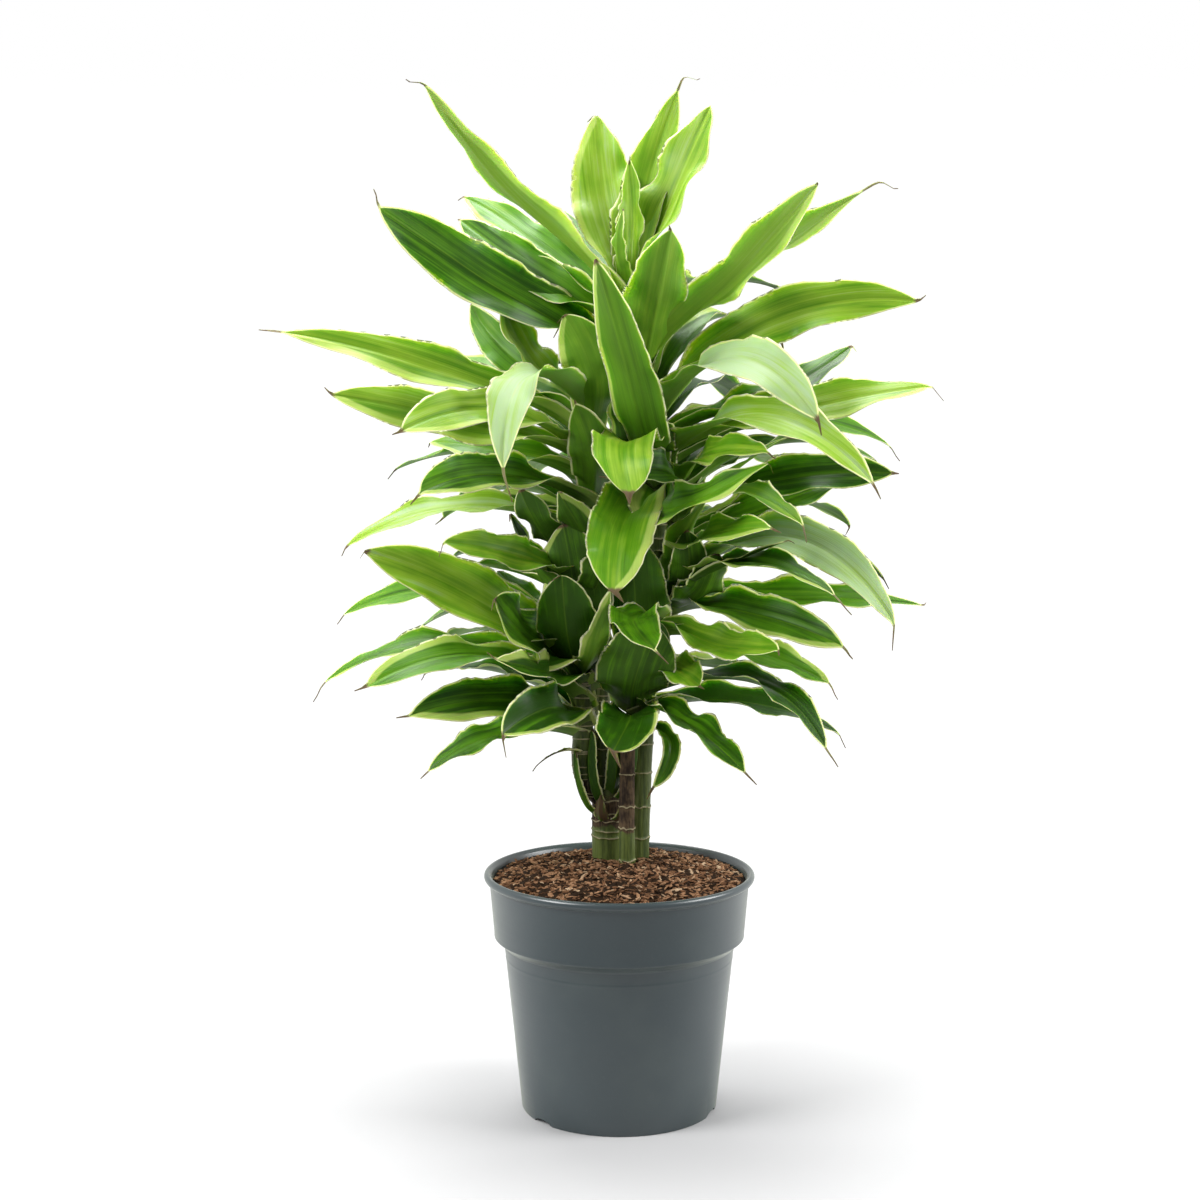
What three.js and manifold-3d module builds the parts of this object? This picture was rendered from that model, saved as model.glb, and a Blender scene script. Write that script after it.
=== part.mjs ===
// A branched dracaena in a round nursery pot.
// Millimetres, +Z up. The origin is the middle of the pot's flat underside, and the plant's best
// side faces -Y. Three canes stand in the compost, and five leafy shoots grow from them.
import * as THREE from 'three';
import { mergeVertices } from 'three/addons/utils/BufferGeometryUtils.js';
import Module from 'manifold-3d';

// ---- driving dimensions ----
const POT_HEIGHT = 216;
const RIM_RADIUS = 122;
const BASE_RADIUS = 88.5;
const WALL = 2.4;
const BASE_THICKNESS = 6;
const POT_SIDES = 48;

const LIP_HEIGHT = 7;           // the rolled lip
const COLLAR_TOP_RADIUS = 117;  // the deep band under the lip
const COLLAR_FOOT_RADIUS = 113;
const COLLAR_FOOT_Z = 161;
const STEP_RADIUS = 104.6;      // the wall steps in under the collar
const STEP_Z = 152;
const BODY_TOP_RADIUS = 102.6;
const BODY_TOP_Z = 138;

const NOTCHES = 3;              // arched drain notches in the foot
const NOTCH_WIDTH = 24;
const NOTCH_HEIGHT = 4;
const NOTCH_FIRST_TURN = -140;  // degrees round the pot from +X
const DRAIN_RADIUS = 4.5;
const DRAIN_CIRCLE = 62;
const NOTCH_SIDES = 12;

const SOIL_WALL_Z = 209.5;        // where the compost meets the wall
const SOIL_TOP_Z = 220;         // the mound round the canes
const SOIL_SIDES = 28;
const GAP = 0.3;                // between pieces that touch

const LEAF_STEPS = 7;
const BLADE_THICKNESS = 1.8;      // at the midrib
const LEAF_WAVES = 3.5;           // waves along one edge
const WAVE_HEIGHT = 0.085;        // of the leaf's width
const WAVE_REACH = 1.05;          // the waves die out this little before the tip
const EDGE_SHIFT = 2.2;           // the two edges wave out of step, in radians

// ---- the canes: a few points up the middle, with the radius at each ----
const CANES = {
  cane_left: { path: [[-10, 38, 185], [-11, 38, 240], [-12, 39, 290], [-15, 41, 338]], radii: [14.4, 14.2, 13.2, 12] },
  cane_middle: { path: [[8, 14, 185], [7, 15, 235], [7, 17, 290], [8, 17, 335]], radii: [7.2, 7.2, 6.8, 6.4] },
  cane_right: {
    path: [[17, 37, 185], [18, 38, 250], [22, 39, 340], [32, 40, 450], [33, 39, 545]],
    radii: [10, 10, 9.6, 9.4, 9.6],
  },
};
const RING_SPACING = 24;        // leaf scars up a cane
const RING_RISE = 0.7;

// ---- the leafy shoots ----
// path: points up the stem. leaves: [height of its root on the stem, where it bends, its tip,
// its full width, how far its upper face turns to the front in degrees].
const SHOOTS = {
  shoot_top: {
    path: [[33, 39, 545.3], [29, 36, 600], [18, 30, 665], [6, 25, 732]],
    radii: [9.6, 8.6, 7.5, 5],
    leaves: [
      [549, [4, -60, 535], [-4, -135, 480], 58, 15],
      [554, [44, -62, 546], [130, -86, 590], 46, 45],
      [566, [2, -70, 600], [8, -122, 560], 54, 5],
      [560, [16, -4, 608], [2, -12, 662], 60, 0],
      [567, [165, 90, 620], [265, 130, 590], 42, 30],
      [573, [130, -60, 625], [215, -115, 565], 46, 35],
      [578, [195, 5, 638], [285, 5, 652], 46, 50],
      [584, [115, 105, 632], [200, 175, 600], 42, 0],
      [589, [10, 140, 640], [-10, 245, 605], 42, 0],
      [595, [155, 45, 650], [215, 75, 690], 42, 25],
      [600, [80, 130, 655], [125, 230, 625], 42, 0],
      [606, [100, -60, 675], [165, -130, 620], 46, 40],
      [611, [-35, 120, 675], [-95, 210, 645], 42, 0],
      [617, [30, 140, 695], [35, 250, 670], 42, 0],
      [623, [150, 15, 715], [270, 15, 725], 48, 75],
      [628, [90, 110, 715], [160, 195, 690], 42, 0],
      [639, [-20, 130, 730], [-60, 230, 710], 42, 0],
      [645, [-135, 45, 755], [-230, 70, 820], 56, 70],
      [650, [95, 90, 745], [155, 140, 740], 42, 15],
      [656, [45, 130, 750], [80, 235, 735], 42, 0],
      [661, [110, -20, 755], [175, -10, 830], 46, -30],
      [667, [150, 50, 780], [250, 70, 845], 42, -40],
      [549, [14, -44, 635], [-22, -55, 762], 46, 0],
      [678, [-105, 78, 772], [-155, 140, 810], 42, 65],
      [684, [-38, 138, 788], [-62, 180, 825], 36, 0],
      [689, [-95, 115, 795], [-155, 200, 835], 42, 30],
      [655, [34, -30, 735], [44, -48, 788], 56, 0],
      [711, [-117, 5, 842], [-176, -40, 922], 42, -25],
      [717, [48, 40, 825], [84, 52, 907], 60, 25],
      [721, [12, 32, 805], [8, 30, 855], 30, 15],
      [722, [-15, 75, 830], [-22, 112, 905], 62, 30],
      [727, [-2, 8, 780], [5, 2, 810], 18, 20],
      [728, [31, 72, 852], [63, 96, 946], 48, 10],
    ],
  },
  shoot_upper_left: {
    path: [[-15, 41, 338.3], [-21, 46, 450], [-25, 45, 560], [-28, 38, 640]],
    radii: [8, 7.5, 6.5, 4.5],
    leaves: [
      [500, [-30, 145, 530], [-20, 245, 495], 42, 0],
      [507, [-150, 25, 542], [-250, 15, 505], 42, 20],
      [480, [-66, 6, 518], [-88, -6, 562], 48, 0],
      [490, [-36, -24, 530], [-56, -44, 566], 44, 0],
      [521, [-100, 80, 545], [-150, 135, 540], 29, 35],
      [529, [-110, 120, 555], [-175, 195, 520], 42, 0],
      [536, [-130, -60, 575], [-170, -120, 560], 42, 50],
      [543, [-70, 140, 580], [-90, 240, 550], 42, 0],
      [540, [-24, -6, 590], [-40, -20, 640], 44, 0],
      [557, [-135, 110, 590], [-220, 160, 570], 42, 0],
      [564, [-125, 50, 595], [-180, 90, 600], 38, 40],
      [572, [-155, -45, 625], [-250, -80, 645], 42, 70],
      [579, [-140, -85, 630], [-184, -125, 612], 44, 50],
      [586, [-100, 130, 625], [-150, 215, 605], 42, 0],
      [593, [-55, 140, 650], [-55, 240, 630], 42, 0],
      [600, [-177, 15, 670], [-322, 10, 702], 44, 65],
      [607, [-24, 4, 660], [-50, -8, 715], 50, 0],
      [615, [-100, 80, 655], [-155, 145, 680], 38, 30],
      [622, [-78, -45, 660], [-95, -130, 565], 46, 0],
      [629, [-72, 30, 668], [-106, 40, 728], 44, 40],
      [636, [-95, 60, 675], [-140, 105, 730], 36, 70],
    ],
  },
  shoot_left: {
    path: [[-14, 37, 268], [-29, 33, 288], [-33, 23, 350], [-36, 12, 430], [-37, 4, 485]],
    radii: [9, 9.5, 8.5, 7, 4.5],
    leaves: [
      [330, [-125, 0, 335], [-175, -10, 305], 38, 25],
      [337, [-65, -75, 375], [-100, -130, 360], 43, 55],
      [343, [-115, -55, 380], [-185, -95, 370], 42, 55],
      [350, [-120, 65, 390], [-190, 100, 380], 38, 0],
      [357, [-65, 115, 400], [-100, 200, 365], 42, 0],
      [363, [-140, -60, 420], [-220, -100, 395], 42, 25],
      [370, [-160, 15, 420], [-275, 0, 380], 42, 15],
      [372, [-46, -32, 438], [-50, -48, 494], 58, 0],
      [377, [-72, -74, 410], [-108, -112, 424], 38, 40],
      [379, [-125, -25, 465], [-225, -45, 510], 54, 70],
      [383, [-110, 80, 425], [-190, 135, 395], 42, 0],
      [385, [-21, -41, 424], [-8, -54, 479], 28, 10],
      [386, [-80, -36, 430], [-108, -72, 472], 68, 50],
      [390, [-130, 105, 445], [-210, 160, 405], 42, 20],
      [393, [-38, -10, 455], [-50, -14, 532], 64, 5],
      [397, [-80, 110, 440], [-130, 190, 410], 42, 0],
      [417, [-165, 60, 465], [-265, 85, 435], 42, 30],
      [423, [-85, 65, 455], [-115, 100, 480], 34, 15],
      [430, [-74, 6, 488], [-98, 4, 540], 50, 0],
      [440, [-20, -14, 478], [-4, -26, 522], 40, 0],
      [450, [-120, 80, 485], [-210, 130, 470], 42, 0],
      [457, [-110, 85, 500], [-175, 150, 480], 42, 0],
      [470, [-96, -52, 508], [-155, -84, 520], 34, 60],
    ],
  },
  shoot_right: {
    path: [[28, 40, 400], [45, 46, 440], [51, 46, 500], [53, 40, 575]],
    radii: [7, 7.5, 7, 4.5],
    leaves: [
      [440, [130, -35, 450], [200, -75, 425], 42, 40],
      [442, [76, -4, 472], [86, -14, 506], 46, 0],
      [446, [90, -44, 496], [150, -60, 522], 18, 0],
      [450, [62, -3, 492], [58, -9, 526], 35, 0],
      [448, [165, 45, 460], [285, 60, 450], 42, 30],
      [452, [88, -40, 568], [150, -60, 612], 44, 35],
      [456, [130, -85, 500], [185, -140, 475], 42, 15],
      [464, [155, -35, 520], [240, -70, 440], 42, 50],
      [472, [150, 70, 510], [250, 95, 470], 42, 0],
      [479, [80, -65, 525], [130, -125, 535], 42, 35],
      [487, [95, 135, 530], [135, 230, 495], 42, 0],
      [495, [140, 100, 545], [225, 155, 515], 42, 0],
      [503, [145, 60, 545], [225, 100, 570], 38, 40],
      [511, [65, 140, 565], [70, 240, 540], 42, 0],
      [519, [35, -38, 580], [-15, -60, 570], 38, 55],
      [527, [105, -25, 560], [160, -75, 530], 38, 10],
      [534, [150, 0, 570], [245, -15, 575], 42, 50],
      [542, [120, 125, 585], [175, 205, 560], 42, 0],
      [550, [155, 80, 600], [245, 115, 580], 42, 0],
      [558, [85, -40, 595], [130, -85, 595], 38, 45],
      [566, [85, 135, 600], [110, 230, 580], 42, 0],
    ],
  },
  shoot_low_right: {
    path: [[8, 17, 335.3], [18, 6, 385], [30, -6, 430], [34, -12, 455]],
    radii: [6.4, 6.4, 6, 4],
    leaves: [
      [345, [46, -30, 334], [28, -35, 297], 17, 15],
      [351, [6, -62, 358], [-6, -98, 341], 52, 0],
      [353, [130, 15, 365], [205, 15, 335], 42, 25],
      [357, [13, -36, 394], [32, -46, 446], 68, 0],
      [362, [65, -50, 355], [110, -90, 320], 38, 0],
      [366, [-10, 4, 396], [-8, -2, 438], 34, 0],
      [370, [140, -50, 385], [180, -90, 335], 42, 5],
      [380, [15, -3, 450], [9, -7, 520], 58, 0],
      [386, [28, -34, 420], [36, -40, 450], 34, 0],
      [394, [95, 45, 395], [180, 75, 355], 36, 0],
      [402, [54, -32, 402], [70, -58, 392], 36, 25],
      [428, [115, -25, 420], [190, -45, 390], 38, 30],
      [436, [90, -75, 430], [135, -135, 435], 38, 35],
      [444, [12, -60, 452], [32, -122, 430], 42, 0],
    ],
  },
};
const CANE_SIDES = 10;
const STEM_SIDES = 6;
const STEM_STEPS = 5;
const STEM_SAMPLES = 64;

// ---- finishes ----
const potPlastic = new THREE.MeshStandardMaterial({ color: 0x4a5559, roughness: 0.38, metalness: 0 });
const compost = new THREE.MeshStandardMaterial({ color: 0x5a4130, roughness: 0.95, metalness: 0 });
const brownBark = new THREE.MeshStandardMaterial({ color: 0x7d6a4c, roughness: 0.8, metalness: 0 });
const greenBark = new THREE.MeshStandardMaterial({ color: 0x6f7d45, roughness: 0.65, metalness: 0 });
const leafGreen = new THREE.MeshStandardMaterial({
  color: 0x2f5a2c, roughness: 0.35, metalness: 0, side: THREE.DoubleSide,
});

const wasm = await Module();
wasm.setup();

// ---- solids ----
function toSolid(geometry) {
  const bare = geometry.index ? geometry.clone() : geometry;
  bare.deleteAttribute('normal');
  bare.deleteAttribute('uv');
  const merged = mergeVertices(bare, 1e-4);
  return new wasm.Manifold(new wasm.Mesh({
    numProp: 3,
    vertProperties: new Float32Array(merged.attributes.position.array),
    triVerts: new Uint32Array(merged.index.array),
  }));
}

// The largest body of a solid: small hollows sealed between leaf roots are filled and scraps dropped.
function mainBody(solid) {
  return solid.decompose().reduce((best, piece) => (piece.volume() > best.volume() ? piece : best));
}

function toGeometry(solid) {
  const mesh = solid.getMesh();
  const geometry = new THREE.BufferGeometry();
  geometry.setAttribute('position', new THREE.BufferAttribute(new Float32Array(mesh.vertProperties), 3));
  geometry.setIndex(new THREE.BufferAttribute(new Uint32Array(mesh.triVerts), 1));
  geometry.computeVertexNormals();
  return geometry;
}

// A closed skin over a row of rings that all have the same number of corners.
function skinOverRings(rings) {
  const corners = rings[0].length;
  const positions = rings.flat().flatMap((p) => [p.x, p.y, p.z]);
  const faces = [];
  for (let ring = 0; ring < rings.length - 1; ring++) {
    for (let i = 0; i < corners; i++) {
      const a = ring * corners + i;
      const b = ring * corners + ((i + 1) % corners);
      faces.push(a, b, b + corners, a, b + corners, a + corners);
    }
  }
  const last = (rings.length - 1) * corners;
  for (let i = 1; i < corners - 1; i++) {
    faces.push(0, i + 1, i);
    faces.push(last, last + i, last + i + 1);
  }
  const geometry = new THREE.BufferGeometry();
  geometry.setAttribute('position', new THREE.Float32BufferAttribute(positions, 3));
  geometry.setIndex(faces);
  return geometry;
}

// A smooth path through a few points, as evenly spaced samples. At a middle point it runs along
// the mean of the two legs there, the shorter one counting more.
function smoothPath(points, firstDirection, steps) {
  const legs = points.slice(1).map((point, i) => point.clone().sub(points[i]));
  const lengths = legs.map((leg) => leg.length());
  const ways = legs.map((leg) => leg.clone().normalize());
  const last = ways.length;
  const tangents = [firstDirection ? firstDirection.clone().normalize() : ways[0].clone()];
  for (let i = 1; i < last; i++) {
    tangents.push(ways[i - 1].clone().multiplyScalar(lengths[i])
      .addScaledVector(ways[i], lengths[i - 1]).normalize());
  }
  tangents.push(ways[last - 1].clone().multiplyScalar(2).sub(tangents[last - 1]).normalize());

  const dense = [];
  const parts = 16;
  for (let leg = 0; leg < last; leg++) {
    for (let i = leg === 0 ? 0 : 1; i <= parts; i++) {
      const t = i / parts;
      dense.push(new THREE.Vector3()
        .addScaledVector(points[leg], 2 * t ** 3 - 3 * t ** 2 + 1)
        .addScaledVector(tangents[leg], (t ** 3 - 2 * t ** 2 + t) * lengths[leg])
        .addScaledVector(points[leg + 1], 3 * t ** 2 - 2 * t ** 3)
        .addScaledVector(tangents[leg + 1], (t ** 3 - t ** 2) * lengths[leg]));
    }
  }
  return spacedEvenly(dense, steps);
}

function spacedEvenly(dense, steps) {
  const run = [0];
  for (let i = 1; i < dense.length; i++) {
    run.push(run[i - 1] + dense[i].distanceTo(dense[i - 1]));
  }
  const samples = [];
  let j = 0;
  for (let i = 0; i <= steps; i++) {
    const want = run[run.length - 1] * i / steps;
    while (j < run.length - 2 && run[j + 1] < want) {
      j++;
    }
    const share = Math.min(1, (want - run[j]) / (run[j + 1] - run[j]));
    samples.push(dense[j].clone().lerp(dense[j + 1], share));
  }
  return samples;
}

const toVector = (list) => new THREE.Vector3(...list);

function mix(list, share) {
  const place = share * (list.length - 1);
  const low = Math.min(Math.floor(place), list.length - 2);
  return THREE.MathUtils.lerp(list[low], list[low + 1], place - low);
}

// ---- canes and stems ----
// Level rings of corners, so that a cane's ends are flat.
function stalk(path, radii, sides, steps, swell = () => 0) {
  const middle = smoothPath(path.map(toVector), null, steps);
  return skinOverRings(middle.map((centre, i) => {
    const radius = mix(radii, i / steps) + swell(i);
    return Array.from({ length: sides }, (_, k) => {
      const turn = (k / sides) * 2 * Math.PI;
      return new THREE.Vector3(
        centre.x + radius * Math.cos(turn), centre.y + radius * Math.sin(turn), centre.z);
    });
  }));
}

function cane({ path, radii }, grow = 0) {
  const height = path[path.length - 1][2] - path[0][2];
  const rings = Math.round(height / RING_SPACING);
  return toSolid(stalk(path, radii.map((r) => r + grow), CANE_SIDES, rings * 2, (i) => (i % 2) * RING_RISE));
}

// ---- leaves ----
const ROOT_WIDTH = 9;           // where the leaf clasps the stem
const WIDEST = 0.52;            // along the leaf
const TAIL_WIDTH = 2.4;
const LEAF_START_RISE = 0.5;    // how much steeper a leaf leaves the stem than it runs to its bend

function halfWidth(width, along) {
  if (along < WIDEST) {
    const share = along / WIDEST;
    return THREE.MathUtils.lerp(Math.min(ROOT_WIDTH, width), width, share * share * (3 - 2 * share)) / 2;
  }
  const share = (along - WIDEST) / (1 - WIDEST);
  return Math.max(TAIL_WIDTH / 2, width / 2 * (1 - share ** 2.6) ** 0.85);
}

// The edges stand up most at the root, where the leaf is folded round the stem.
const channel = (along) => 0.75 * (1 - along) ** 2 + 0.16;

function leafRings([, bend, tip, width, turn], root) {
  const bendPoint = toVector(bend);
  const tipPoint = toVector(tip);
  const outward = bendPoint.clone().sub(root).setZ(0).normalize();
  const start = bendPoint.clone().sub(root).normalize().add(new THREE.Vector3(0, 0, LEAF_START_RISE));
  const spine = smoothPath([root, bendPoint, tipPoint], start, LEAF_STEPS);

  const sideTurn = THREE.MathUtils.degToRad(turn) * Math.sign(tipPoint.x - root.x);
  const phase = (root.z * 7.31 + width) % (2 * Math.PI);
  const side = new THREE.Vector3(0, 0, 1).cross(outward);
  return spine.map((centre, i) => {
    const along = i / LEAF_STEPS;
    const ahead = spine[Math.min(i + 1, LEAF_STEPS)].clone().sub(spine[Math.max(i - 1, 0)]).normalize();
    side.addScaledVector(ahead, -side.dot(ahead)).normalize();
    const normal = ahead.clone().cross(side);
    const angle = sideTurn * THREE.MathUtils.smoothstep(along, 0.1, 0.55);
    const across = side.clone().multiplyScalar(Math.cos(angle)).addScaledVector(normal, Math.sin(angle));
    const up = normal.clone().multiplyScalar(Math.cos(angle)).addScaledVector(side, -Math.sin(angle));

    const half = halfWidth(width, along);
    const swing = WAVE_HEIGHT * width * Math.sin(Math.PI * Math.min(1, along * WAVE_REACH));
    const wave = (shift) => swing * Math.sin(2 * Math.PI * LEAF_WAVES * along + phase + shift);
    const corner = (share, lift) => centre.clone()
      .addScaledVector(across, share * half)
      .addScaledVector(up, lift);
    const rise = channel(along) * half;
    return [
      corner(-1, rise + wave(0)), corner(0, BLADE_THICKNESS / 2),
      corner(1, rise + wave(EDGE_SHIFT)), corner(0, -BLADE_THICKNESS / 2),
    ];
  });
}

// Each ring is left edge, midrib on the upper face, right edge, midrib underneath. Both faces are
// split along the same diagonals, so that they stay apart where the blade waves.
function bladeOverRings(rings) {
  const positions = rings.flat().flatMap((p) => [p.x, p.y, p.z]);
  const faces = [];
  for (let ring = 0; ring < rings.length - 1; ring++) {
    const [left, top, right, under] = [0, 1, 2, 3].map((i) => ring * 4 + i);
    faces.push(left, top + 4, top, left, left + 4, top + 4);
    faces.push(top, top + 4, right, right, top + 4, right + 4);
    faces.push(left, under, under + 4, left, under + 4, left + 4);
    faces.push(under, right, under + 4, right, right + 4, under + 4);
  }
  const last = (rings.length - 1) * 4;
  faces.push(0, 1, 3, 1, 2, 3);
  faces.push(last, last + 3, last + 1, last + 1, last + 3, last + 2);
  const geometry = new THREE.BufferGeometry();
  geometry.setAttribute('position', new THREE.Float32BufferAttribute(positions, 3));
  geometry.setIndex(faces);
  return geometry;
}

// A stem with all its leaves joined to it, cut off where it meets a cane.
function shoot({ path, radii, leaves }, canes) {
  const middle = smoothPath(path.map(toVector), null, STEM_SAMPLES);
  const stemAt = (height) => middle.reduce((best, point) => (
    Math.abs(point.z - height) < Math.abs(best.z - height) ? point : best));
  const stem = toSolid(stalk(path, radii, STEM_SIDES, STEM_STEPS));
  const blades = leaves.map((row) => toSolid(bladeOverRings(leafRings(row, stemAt(row[0])))));
  return mainBody(wasm.Manifold.union([stem, ...blades]).subtract(canes));
}

// ---- the pot and the compost ----
function lathe(profile, sides) {
  const geometry = new THREE.LatheGeometry(profile.map(([r, z]) => new THREE.Vector2(r, z)), sides);
  geometry.rotateX(Math.PI / 2);
  return toSolid(geometry);
}

// Wall points from the foot up to the lip, on the outside.
const OUTSIDE = [
  [BASE_RADIUS, 0], [BODY_TOP_RADIUS, BODY_TOP_Z], [STEP_RADIUS, STEP_Z],
  [COLLAR_FOOT_RADIUS, COLLAR_FOOT_Z - 3], [COLLAR_FOOT_RADIUS, COLLAR_FOOT_Z],
  [COLLAR_TOP_RADIUS, POT_HEIGHT - LIP_HEIGHT - 1], [RIM_RADIUS - 0.6, POT_HEIGHT - LIP_HEIGHT],
  [RIM_RADIUS, POT_HEIGHT - LIP_HEIGHT / 2], [RIM_RADIUS - 1.2, POT_HEIGHT],
];

function insideRadius(z) {
  const foot = COLLAR_FOOT_RADIUS - WALL;
  const top = COLLAR_TOP_RADIUS - WALL;
  if (z > COLLAR_FOOT_Z) {
    return foot + (top - foot) * (z - COLLAR_FOOT_Z) / (POT_HEIGHT - COLLAR_FOOT_Z);
  }
  return BASE_RADIUS - WALL + (BODY_TOP_RADIUS - BASE_RADIUS) * z / BODY_TOP_Z;
}

function pot() {
  const inside = [
    [insideRadius(POT_HEIGHT) + 1.5, POT_HEIGHT], [insideRadius(POT_HEIGHT), POT_HEIGHT - 2],
    [COLLAR_FOOT_RADIUS - WALL, COLLAR_FOOT_Z], [STEP_RADIUS - WALL, STEP_Z + 2],
    [insideRadius(BODY_TOP_Z), BODY_TOP_Z], [insideRadius(BASE_THICKNESS), BASE_THICKNESS],
  ];
  let solid = lathe([[0, 0], ...OUTSIDE, ...inside, [0, BASE_THICKNESS]], POT_SIDES);
  for (let i = 0; i < NOTCHES; i++) {
    const turn = THREE.MathUtils.degToRad(NOTCH_FIRST_TURN + i * 360 / NOTCHES);
    const arch = new THREE.CylinderGeometry(1, 1, 60, NOTCH_SIDES);
    arch.scale(NOTCH_WIDTH / 2, 1, NOTCH_HEIGHT);
    arch.translate(0, BASE_RADIUS - 5, 0).rotateZ(turn - Math.PI / 2);
    const drain = new THREE.CylinderGeometry(DRAIN_RADIUS, DRAIN_RADIUS, 40, NOTCH_SIDES);
    drain.rotateX(Math.PI / 2).translate(DRAIN_CIRCLE * Math.cos(turn), DRAIN_CIRCLE * Math.sin(turn), 0);
    solid = solid.subtract(toSolid(arch)).subtract(toSolid(drain));
  }
  return solid;
}

// The compost's surface: a low mound with clods.
function soilTop(x, y) {
  const radius = Math.hypot(x, y);
  const wall = insideRadius(SOIL_WALL_Z);
  const mound = SOIL_WALL_Z + (SOIL_TOP_Z - SOIL_WALL_Z) * (1 - (radius / wall) ** 3);
  const clods = 1.2 * Math.sin(x * 0.13 + 1) * Math.cos(y * 0.11) + 0.8 * Math.sin(x * 0.29 - y * 0.23);
  return mound + clods * Math.min(1, (wall - radius) / 12);
}

function soil() {
  const wall = insideRadius(SOIL_WALL_Z) - GAP;
  const reach = (z) => insideRadius(z) - GAP;
  const side = [
    [reach(BASE_THICKNESS + GAP), BASE_THICKNESS + GAP], [reach(BODY_TOP_Z) - 0.2, BODY_TOP_Z],
    [STEP_RADIUS - WALL - GAP - 0.2, STEP_Z + 2], [COLLAR_FOOT_RADIUS - WALL - GAP - 0.2, COLLAR_FOOT_Z + 1],
    [wall, SOIL_WALL_Z],
  ];
  const surface = [0.88, 0.7, 0.5, 0.3, 0.14].map((share) => [wall * share, SOIL_WALL_Z + 1]);
  const geometry = new THREE.LatheGeometry(
    [[0, BASE_THICKNESS + GAP], ...side, ...surface, [0, SOIL_WALL_Z + 1]].map(([r, z]) => new THREE.Vector2(r, z)),
    SOIL_SIDES);
  geometry.rotateX(Math.PI / 2);
  const position = geometry.attributes.position;
  for (let i = 0; i < position.count; i++) {
    if (position.getZ(i) > SOIL_WALL_Z + 0.5) {
      position.setZ(i, soilTop(position.getX(i), position.getY(i)));
    }
  }
  let solid = toSolid(geometry);
  for (const each of Object.values(CANES)) {
    const sunk = { path: [[each.path[0][0], each.path[0][1], each.path[0][2] - GAP], ...each.path.slice(1)], radii: each.radii };
    solid = solid.subtract(cane(sunk, GAP));
  }
  return solid;
}

// ---- the assembly ----
const group = new THREE.Group();
group.name = 'potted_dracaena';

function place(name, solid, material) {
  const mesh = new THREE.Mesh(toGeometry(solid), material);
  mesh.name = name;
  group.add(mesh);
}

place('pot', pot(), potPlastic);
place('soil', soil(), compost);

for (const [name, each] of Object.entries(CANES)) {
  place(name, cane(each), name === 'cane_right' ? greenBark : brownBark);
}

const canesWithGap = wasm.Manifold.union(Object.values(CANES).map((each) => cane(each, GAP)));
for (const [name, each] of Object.entries(SHOOTS)) {
  place(name, shoot(each, canesWithGap), leafGreen);
}

export default group;
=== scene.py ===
import math
from types import SimpleNamespace

import bmesh
import bpy
import numpy as np
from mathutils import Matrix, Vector


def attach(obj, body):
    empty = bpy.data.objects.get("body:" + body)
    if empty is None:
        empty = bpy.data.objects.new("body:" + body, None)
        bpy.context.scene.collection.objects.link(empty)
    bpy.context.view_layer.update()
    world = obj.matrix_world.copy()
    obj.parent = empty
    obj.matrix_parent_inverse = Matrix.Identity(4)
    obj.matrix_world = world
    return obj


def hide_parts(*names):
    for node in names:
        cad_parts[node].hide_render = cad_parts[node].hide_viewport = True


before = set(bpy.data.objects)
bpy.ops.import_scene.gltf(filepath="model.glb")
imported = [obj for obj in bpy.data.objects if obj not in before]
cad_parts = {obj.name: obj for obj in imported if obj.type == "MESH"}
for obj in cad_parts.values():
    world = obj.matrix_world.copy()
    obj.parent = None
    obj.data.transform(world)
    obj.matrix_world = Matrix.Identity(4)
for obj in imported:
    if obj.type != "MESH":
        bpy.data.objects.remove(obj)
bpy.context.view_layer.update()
mm = 0.001
randomSeed = 7
print("frame loaded:", len(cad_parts), "CAD nodes")


# node trees: a Field is one output of a node, and each Python operator on it adds a math node

class Field:
    def __init__(self, socket):
        self.socket = socket
        self.tree = socket.id_data

    def __add__(self, other):
        return calc("ADD", self, other)

    def __sub__(self, other):
        return calc("SUBTRACT", self, other)

    def __rsub__(self, other):
        return calc("SUBTRACT", other, self)

    def __mul__(self, other):
        return calc("MULTIPLY", self, other)

    def __pow__(self, other):
        return calc("POWER", self, other)

    def __abs__(self):
        return calc("ABSOLUTE", self)


def calc(operation, *values):
    first = next(value for value in values if isinstance(value, Field))
    isVector = first.socket.type in ("VECTOR", "RGBA")
    kind = "ShaderNodeVectorMath" if isVector else "ShaderNodeMath"
    return field(first.tree, kind, dict(enumerate(values)), operation=operation)


def put(tree, kind, inputs=None, **settings):
    node = tree.nodes.new(kind)
    for name, value in settings.items():
        setattr(node, name, value)
    fill(node, inputs or {})
    return node


def fill(node, inputs):
    # a Field is linked to its socket, and any other value is set on the socket itself
    for name, value in inputs.items():
        socket = node.inputs[name] if isinstance(name, int) else openSocket(node.inputs, name)
        if isinstance(value, Field):
            node.id_data.links.new(value.socket, socket)
        else:
            socket.default_value = value


def openSocket(sockets, name):
    # several sockets can share a name, and only one of them is in use
    return next(s for s in sockets if s.name == name and s.enabled)


def field(tree, kind, inputs=None, output=0, **settings):
    sockets = put(tree, kind, inputs, **settings).outputs
    return Field(sockets[output] if isinstance(output, int) else openSocket(sockets, output))


def scaled(vector, factor):
    return field(vector.tree, "ShaderNodeVectorMath", {"Vector": vector, "Scale": factor},
                 operation="SCALE")


def lengthOf(vector):
    return field(vector.tree, "ShaderNodeVectorMath", {0: vector}, "Value", operation="LENGTH")


def apart(vector):
    return [Field(socket) for socket in put(vector.tree, "ShaderNodeSeparateXYZ", {0: vector}).outputs]


def combine(x, y, z):
    tree = next(value.tree for value in (x, y, z) if isinstance(value, Field))
    return field(tree, "ShaderNodeCombineXYZ", {0: x, 1: y, 2: z})


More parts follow.
